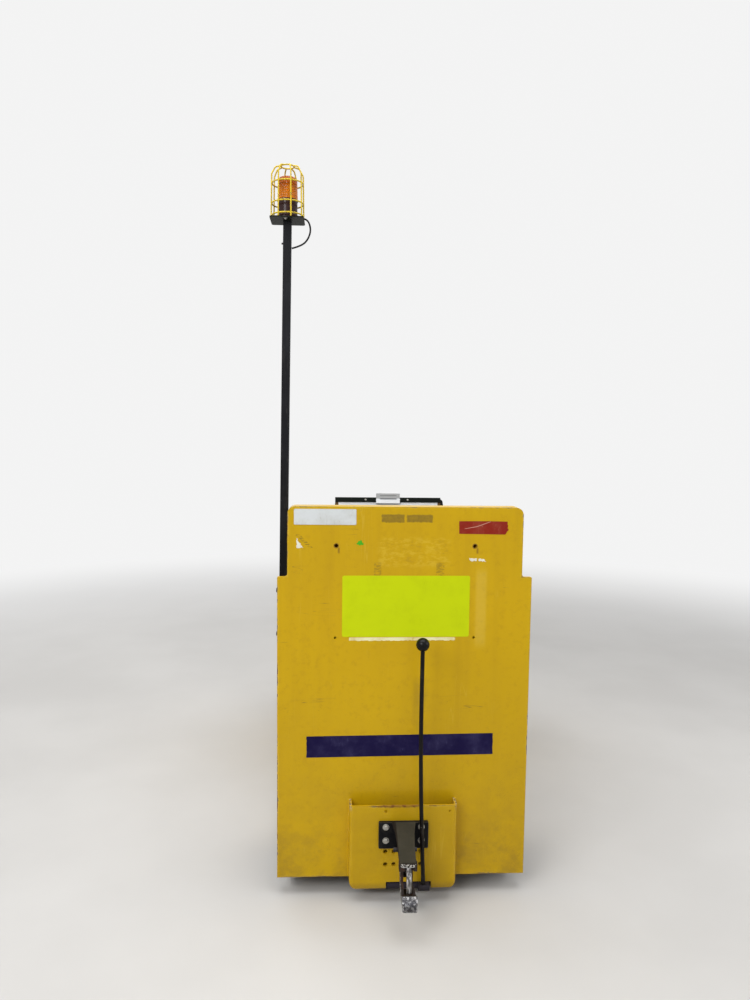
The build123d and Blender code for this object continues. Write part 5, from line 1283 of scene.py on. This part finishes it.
# Hitch mount, guard and hook
# A black plate on four bolts carries a cast arm, which has two cheeks, a slot and a worn nose, and a guard.
# Rings and drawbars have rubbed the casting rusty brown and its nose bright.
MOUNT_FACE_Y = -0.779
OLIVE_GREY = (0.036, 0.033, 0.023, 1)
WORN_BRIGHT = (0.480, 0.470, 0.450, 1)
HOOK_MIDDLE_X = 0.0035
IRON_BROWN = (0.040, 0.030, 0.026, 1)
MOUNT_BLACK = (0.004, 0.004, 0.005, 1)
GUARD_PALE = (0.062, 0.054, 0.040, 1)
FOLD_SHADE = (0.012, 0.009, 0.007, 1)
GUARD_END_DARK = (0.014, 0.011, 0.008, 1)
BURNISHED_DARK, BURNISHED = (0.055, 0.055, 0.062, 1), (0.60, 0.60, 0.61, 1)
MOUNT_PLATE = (-0.080, -0.779, 0.192), (0.080, -0.767, 0.279)


def mount_finish():
    """Black paint on the plate, and a dull olive grey guard with a bright torn end and painted shade along
    its left fold.
    """
    finish = Finish("hitch mount and guard paint")
    cloud = finish.grain(22.0, 5.0, 0.6)
    fine = finish.grain(150.0, 4.0, 0.65)
    guard = finish.y.rise(MOUNT_FACE_Y - 0.0004, MOUNT_FACE_Y - 0.0010)
    plate = finish.blend(cloud.rise(0.5, 0.75) * 0.18, MOUNT_BLACK, BLACK_DUSTY)
    dull = finish.blend(cloud.rise(0.4, 0.7) * 0.35, OLIVE_GREY, GUARD_PALE)
    # Painted shade: the guard's left strip is darkened where its folded-down flange lies in shadow.
    fold_shade = finish.x.rise(-0.0235, -0.0275)
    dull = finish.blend(fold_shade, dull, FOLD_SHADE)
    colour = finish.blend(guard, plate, dull)
    ends = (finish.y + (fine - 0.5) * 0.012).rise(-0.9405, -0.9465)
    scraped = ends * finish.grain(210.0, 2.0).rise(0.46, 0.54)
    near_end = (finish.y + (cloud - 0.5) * 0.01).rise(-0.934, -0.942)
    colour = finish.blend(near_end, colour, GUARD_END_DARK)
    colour = finish.blend(scraped, colour, WORN_BRIGHT)
    rim = finish.edge(*MOUNT_PLATE) + (fine - 0.5) * 0.006
    worn_rim = rim.rise(0.0022, 0.0008) * (1 - guard)
    colour = finish.blend(worn_rim * 0.6, colour, BLACK_DUSTY)
    finish.set("Metallic", scraped * 0.8)
    rough = 0.36 + guard * 0.18 + fine * 0.12
    return finish.done(colour, rough, finish.relief(fine, 0.00025))


def hook_finish():
    """Rusty casting skin, bright along its rubbed edges and burnished on its nose, with painted glints on the
    bright metal.
    """
    finish = Finish("cast hook iron")
    cloud = finish.grain(35.0, 5.0, 0.65)
    fine = finish.grain(240.0, 4.0, 0.6)
    skin = finish.blend(cloud.rise(0.45, 0.7) * 0.45, IRON_BROWN, RUST)
    skin = finish.blend(fine.rise(0.50, 0.70) * 0.6, skin, OIL_AND_SHADE_DARK)
    nose = (finish.y + (cloud - 0.5) * 0.012).rise(-0.950, -0.957)
    nose = nose * (finish.z + (fine - 0.5) * 0.01).rise(0.160, 0.152)
    off_middle = abs(finish.x - HOOK_MIDDLE_X)
    side_wear = (off_middle + (cloud - 0.5) * 0.006).rise(0.0205, 0.0235) * finish.z.rise(0.200, 0.150)
    rims = off_middle.rise(0.0165, 0.0215).most(finish.z.rise(0.113, 0.105)).most(finish.z.rise(0.140, 0.146))
    dents = finish.grain(130.0, 6.0, 0.8)
    # Painted highlights: bright glints scattered on the burnished metal, most of them along the cheek rims.
    glints = dents.rise(0.47, 0.59) * (0.4 + rims * 0.6)
    bright = nose.most(side_wear * 0.8) * (0.7 + fine.rise(0.62, 0.50) * 0.3)
    burnished = finish.blend(glints, BURNISHED_DARK, BURNISHED)
    colour = finish.blend(bright, skin, burnished)
    finish.set("Metallic", bright * 0.85)
    normal = finish.relief(fine, 0.0006)
    return finish.done(colour, 0.62 - bright * 0.28, finish.relief(dents, 0.0016, normal))


def worn_steel(name, colour, rust, bright=(0.62, 0.61, 0.59, 1)):
    finish = Finish(name)
    cloud = finish.grain(50.0, 5.0, 0.65)
    lines = finish.grain(1.0, 3.0, 0.5, finish.stretched(160, 160, 12))
    shade = finish.blend(lines.rise(0.42, 0.62), colour, bright)
    dark = cloud.rise(0.5, 0.66)
    shade = finish.blend(dark * rust, shade, IRON_BROWN)
    finish.set("Metallic", 0.9 - dark * 0.6)
    return finish.done(shade, 0.28 + lines * 0.2 + dark * 0.25, finish.relief(lines, 0.0002))


dress("hitch_mount", mount_finish())
dress("hitch_body", hook_finish())
dress("hitch_latch", worn_steel("worn tongue steel", (0.11, 0.105, 0.10, 1), 0.6, (0.55, 0.53, 0.52, 1)))
mount_bolts = [((x, MOUNT_FACE_Y, z), (0, -1, 0)) for x in (-0.057, 0.057) for z in (0.219, 0.264)]
bolts("hitch_bolts", mount_bolts, zinc, across=0.0145, head=0.006, washer=0.0105, plate=0.0016)
cross_bolt = [((side * 0.019, -0.838, 0.222), (side, 0, 0)) for side in (-1, 1)]
bolts("hook_cross_bolt", cross_bolt, black_bolt, across=0.013, head=0.014, washer=0.009, plate=0.004)
# Painted shade: a dark sheet behind the hook's slot, so that the gap between the cheeks reads as shadow.
painted_slot_shade = worn_steel("painted slot shade", OIL_AND_SHADE_DARK, 0.5, (0.03, 0.025, 0.02, 1))
slot_sides = ((-0.0098, 0.156), (0.0168, 0.156), (0.0168, 0.236), (-0.0098, 0.236))
slot_back = [(x, -0.8665, z) for x, z in slot_sides]
prism("hook_slot_shade_plate", slot_back, (0, 0.004, 0), painted_slot_shade)


# Release bar, rod and knob
# Pulling the ball knob back rocks a bar across the bracket's foot, which frees the hook's tongue.
# The rod is glossy black and has bowed, and its ball is moulded on.
BAR_PAINT = (0.024, 0.020, 0.028, 1)
ROD_BLACK = (0.003, 0.002, 0.002, 1)
KNOB_BLACK = (0.002, 0.002, 0.002, 1)


def rod_finish():
    finish = Finish("release rod paint", Coat_Weight=0.12, Coat_Roughness=0.08)
    cloud = finish.grain(30.0, 4.0)
    colour = finish.blend(cloud.rise(0.55, 0.72) * 0.18, ROD_BLACK, BLACK_DUSTY)
    chips = finish.cells(60.0).rise(0.12, 0.06) * cloud.rise(0.5, 0.62)
    colour = finish.blend(chips, colour, BARE_EDGE)
    return finish.done(colour, 0.24 + cloud * 0.2, finish.relief(1 - chips, 0.0002))


paint_black("release_shaft", "release bar paint", 0.8, 0.3, 0.45, BAR_PAINT)
dress("release_lever", rod_finish())
knob_plastic = moulded("ball knob plastic", KNOB_BLACK, BLACK_DUSTY, 500.0, 0.04, 0.16, Coat_Weight=0.12)
dress("lever_knob", knob_plastic)


# Beacon pole
# A square steel tube in two clamps on the tower's side, which leans a little, with the lamp's plate on top.
# Its black paint is rubbed along the corners.
POLE_BLACK, POLE_GREY = (0.004, 0.004, 0.005, 1), (0.018, 0.019, 0.023, 1)
TOP_BLACK, TOP_OLIVE = (0.003, 0.004, 0.002, 1), (0.012, 0.013, 0.008, 1)


def pole_finish():
    finish = Finish("beacon pole paint")
    cloud = finish.grain(7.0, 5.0, 0.6)
    fine = finish.grain(110.0, 3.0)
    high_up = finish.z.rise(1.0, 2.2) * 0.4
    colour = finish.blend(cloud.rise(0.45, 0.75) * 0.4 + high_up, POLE_BLACK, POLE_GREY)
    top = finish.blend(cloud.rise(0.4, 0.6), TOP_BLACK, TOP_OLIVE)
    colour = finish.blend(finish.z.rise(2.179, 2.180), colour, top)
    scratch = abs(finish.grain(1.0, 3.0, 0.5, finish.stretched(60, 60, 2)) - 0.5).rise(0.006, 0.0)
    colour = finish.blend(scratch * 0.35, colour, BLACK_DUSTY)
    return finish.done(colour, 0.40 + cloud * 0.2, finish.relief(fine, 0.0001))


dress("beacon_pole", pole_finish())
side_screw = [((-0.3955, -0.640, 2.112), (-1, 0, 0))]
bolts("pole_side_screw", side_screw, black_bolt, across=0.0052, head=0.0045, washer=0.0060, plate=0.0006)
paint_black("pole_clamps", "pole clamp paint", wear=0.8, dust=0.15)
clamp_bolts = [((-0.4101, -0.640, 0.820 + height), (-1, 0, 0)) for height in (0.040, 0.185)]
bolts("clamp_bolts", clamp_bolts, black_bolt, across=0.013, head=0.006, washer=0.0105, plate=0.0012)


# Beacon
# An amber lens on a dark maroon base, with a lamp and reflector inside, in a cage of yellow coated wire.
# The lead leaves the base through a gland, drops past the plate's edge and goes into the pole.
AMBER = (0.700, 0.205, 0.004, 1)
AMBER_DEEP = (0.430, 0.085, 0.003, 1)
MAROON = (0.030, 0.010, 0.009, 1)
WIRE_YELLOW, WIRE_OCHRE = (0.640, 0.470, 0.030, 1), (0.42, 0.28, 0.03, 1)
BEACON_X, BEACON_Y = -0.3818, -0.640
BASE_Z, LENS_Z = 2.185, 2.244
CHROME = (0.60, 0.60, 0.60, 1)
GLASS_LIT, GLASS_DULL = (0.95, 0.80, 0.55, 1), (0.80, 0.60, 0.35, 1)
REFLECTOR = ((0.0, 0.0), (0.020, 0.0), (0.021, 0.004), (0.010, 0.010), (0.008, 0.016), (0.0, 0.016))
BULB = (
    (0.0, 0.016), (0.006, 0.016), (0.007, 0.022), (0.011, 0.030), (0.012, 0.038), (0.009, 0.046),
    (0.0, 0.050),
)


def lens_finish():
    finish = Finish("amber lens", roughness=0.16, Transmission_Weight=0.35, IOR=1.45)
    around = (finish.y - BEACON_Y).sum("ARCTAN2", finish.x - BEACON_X)
    flutes = (around * 36.0).sum("SINE") * 0.5 + 0.5
    bands = ((finish.z - LENS_Z) * 700.0).sum("SINE") * 0.5 + 0.5
    uneven = finish.grain(60.0, 3.0)
    deep = (finish.z + (uneven - 0.5) * 0.03).rise(LENS_Z + 0.028, LENS_Z + 0.042)
    colour = finish.blend(deep * 0.8, AMBER, AMBER_DEEP)
    return finish.done(colour, None, finish.relief(flutes * 0.6 + bands * 0.6, 0.0007))


def wire_finish():
    finish = Finish("coated cage wire", Coat_Weight=0.15)
    cloud = finish.grain(60.0, 4.0)
    colour = finish.blend(cloud.rise(0.5, 0.7) * 0.5, WIRE_YELLOW, WIRE_OCHRE)
    colour = finish.blend(finish.grain(140.0, 3.0).rise(0.6, 0.68) * 0.7, colour, BARE_EDGE)
    return finish.done(colour, 0.35 + cloud * 0.2, finish.relief(cloud, 0.0002))


def bulb_finish():
    finish = Finish("lamp bulb glass", roughness=0.1, Transmission_Weight=0.4)
    cloud = finish.grain(80.0)
    return finish.done(finish.blend(cloud, GLASS_LIT, GLASS_DULL), 0.1 + cloud * 0.05)


base_plastic = moulded("maroon lamp base plastic", MAROON, BLACK_DUSTY, 300.0, 0.3, 0.3, Coat_Weight=0.25)
dress("beacon_base", base_plastic)
dress("beacon_lens", lens_finish())
dress("beacon_cage", wire_finish())
base_nuts = [((BEACON_X - 0.004, BEACON_Y + side * 0.038, BASE_Z - 0.004), (0, 0, -1)) for side in (-1, 1)]
bolts("beacon_nuts", base_nuts, zinc, across=0.0052, head=0.004, washer=0.0062, plate=0.0008)
lens_foot = (BEACON_X, BEACON_Y, LENS_Z)
turned_piece("lamp_reflector", REFLECTOR, lens_foot, worn_steel("lamp reflector chrome", CHROME, 0.1))
turned_piece("lamp_bulb", BULB, lens_foot, bulb_finish())


# Lead of the beacon
# A thin rubber covered lead, which arches out of the gland and back into the pole under the plate.
LEAD_DIAMETER = 0.0055
LEAD_ROUTE = (
    (0.042, 2.1905), (0.062, 2.1905), (0.074, 2.159), (0.066, 2.129), (0.046, 2.107), (0.0134, 2.098),
)


def lead_finish():
    finish = Finish("beacon lead rubber")
    cloud = finish.grain(90.0, 4.0)
    colour = finish.blend(cloud.rise(0.5, 0.7) * 0.4, (0.010, 0.010, 0.011, 1), BLACK_DUSTY)
    return finish.done(colour, 0.5 + cloud * 0.2, finish.relief(cloud, 0.0002))


lead_points = [(BEACON_X + x, BEACON_Y, z) for x, z in LEAD_ROUTE]
lead, run = tube_curve("beacon_lead", lead_points, LEAD_DIAMETER / 2, 4, 12)
run.use_endpoint_u = True
lead.data.use_fill_caps = True
lead.data.materials.append(lead_finish())
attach(lead, "chassis")
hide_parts("beacon_cable")


low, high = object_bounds()
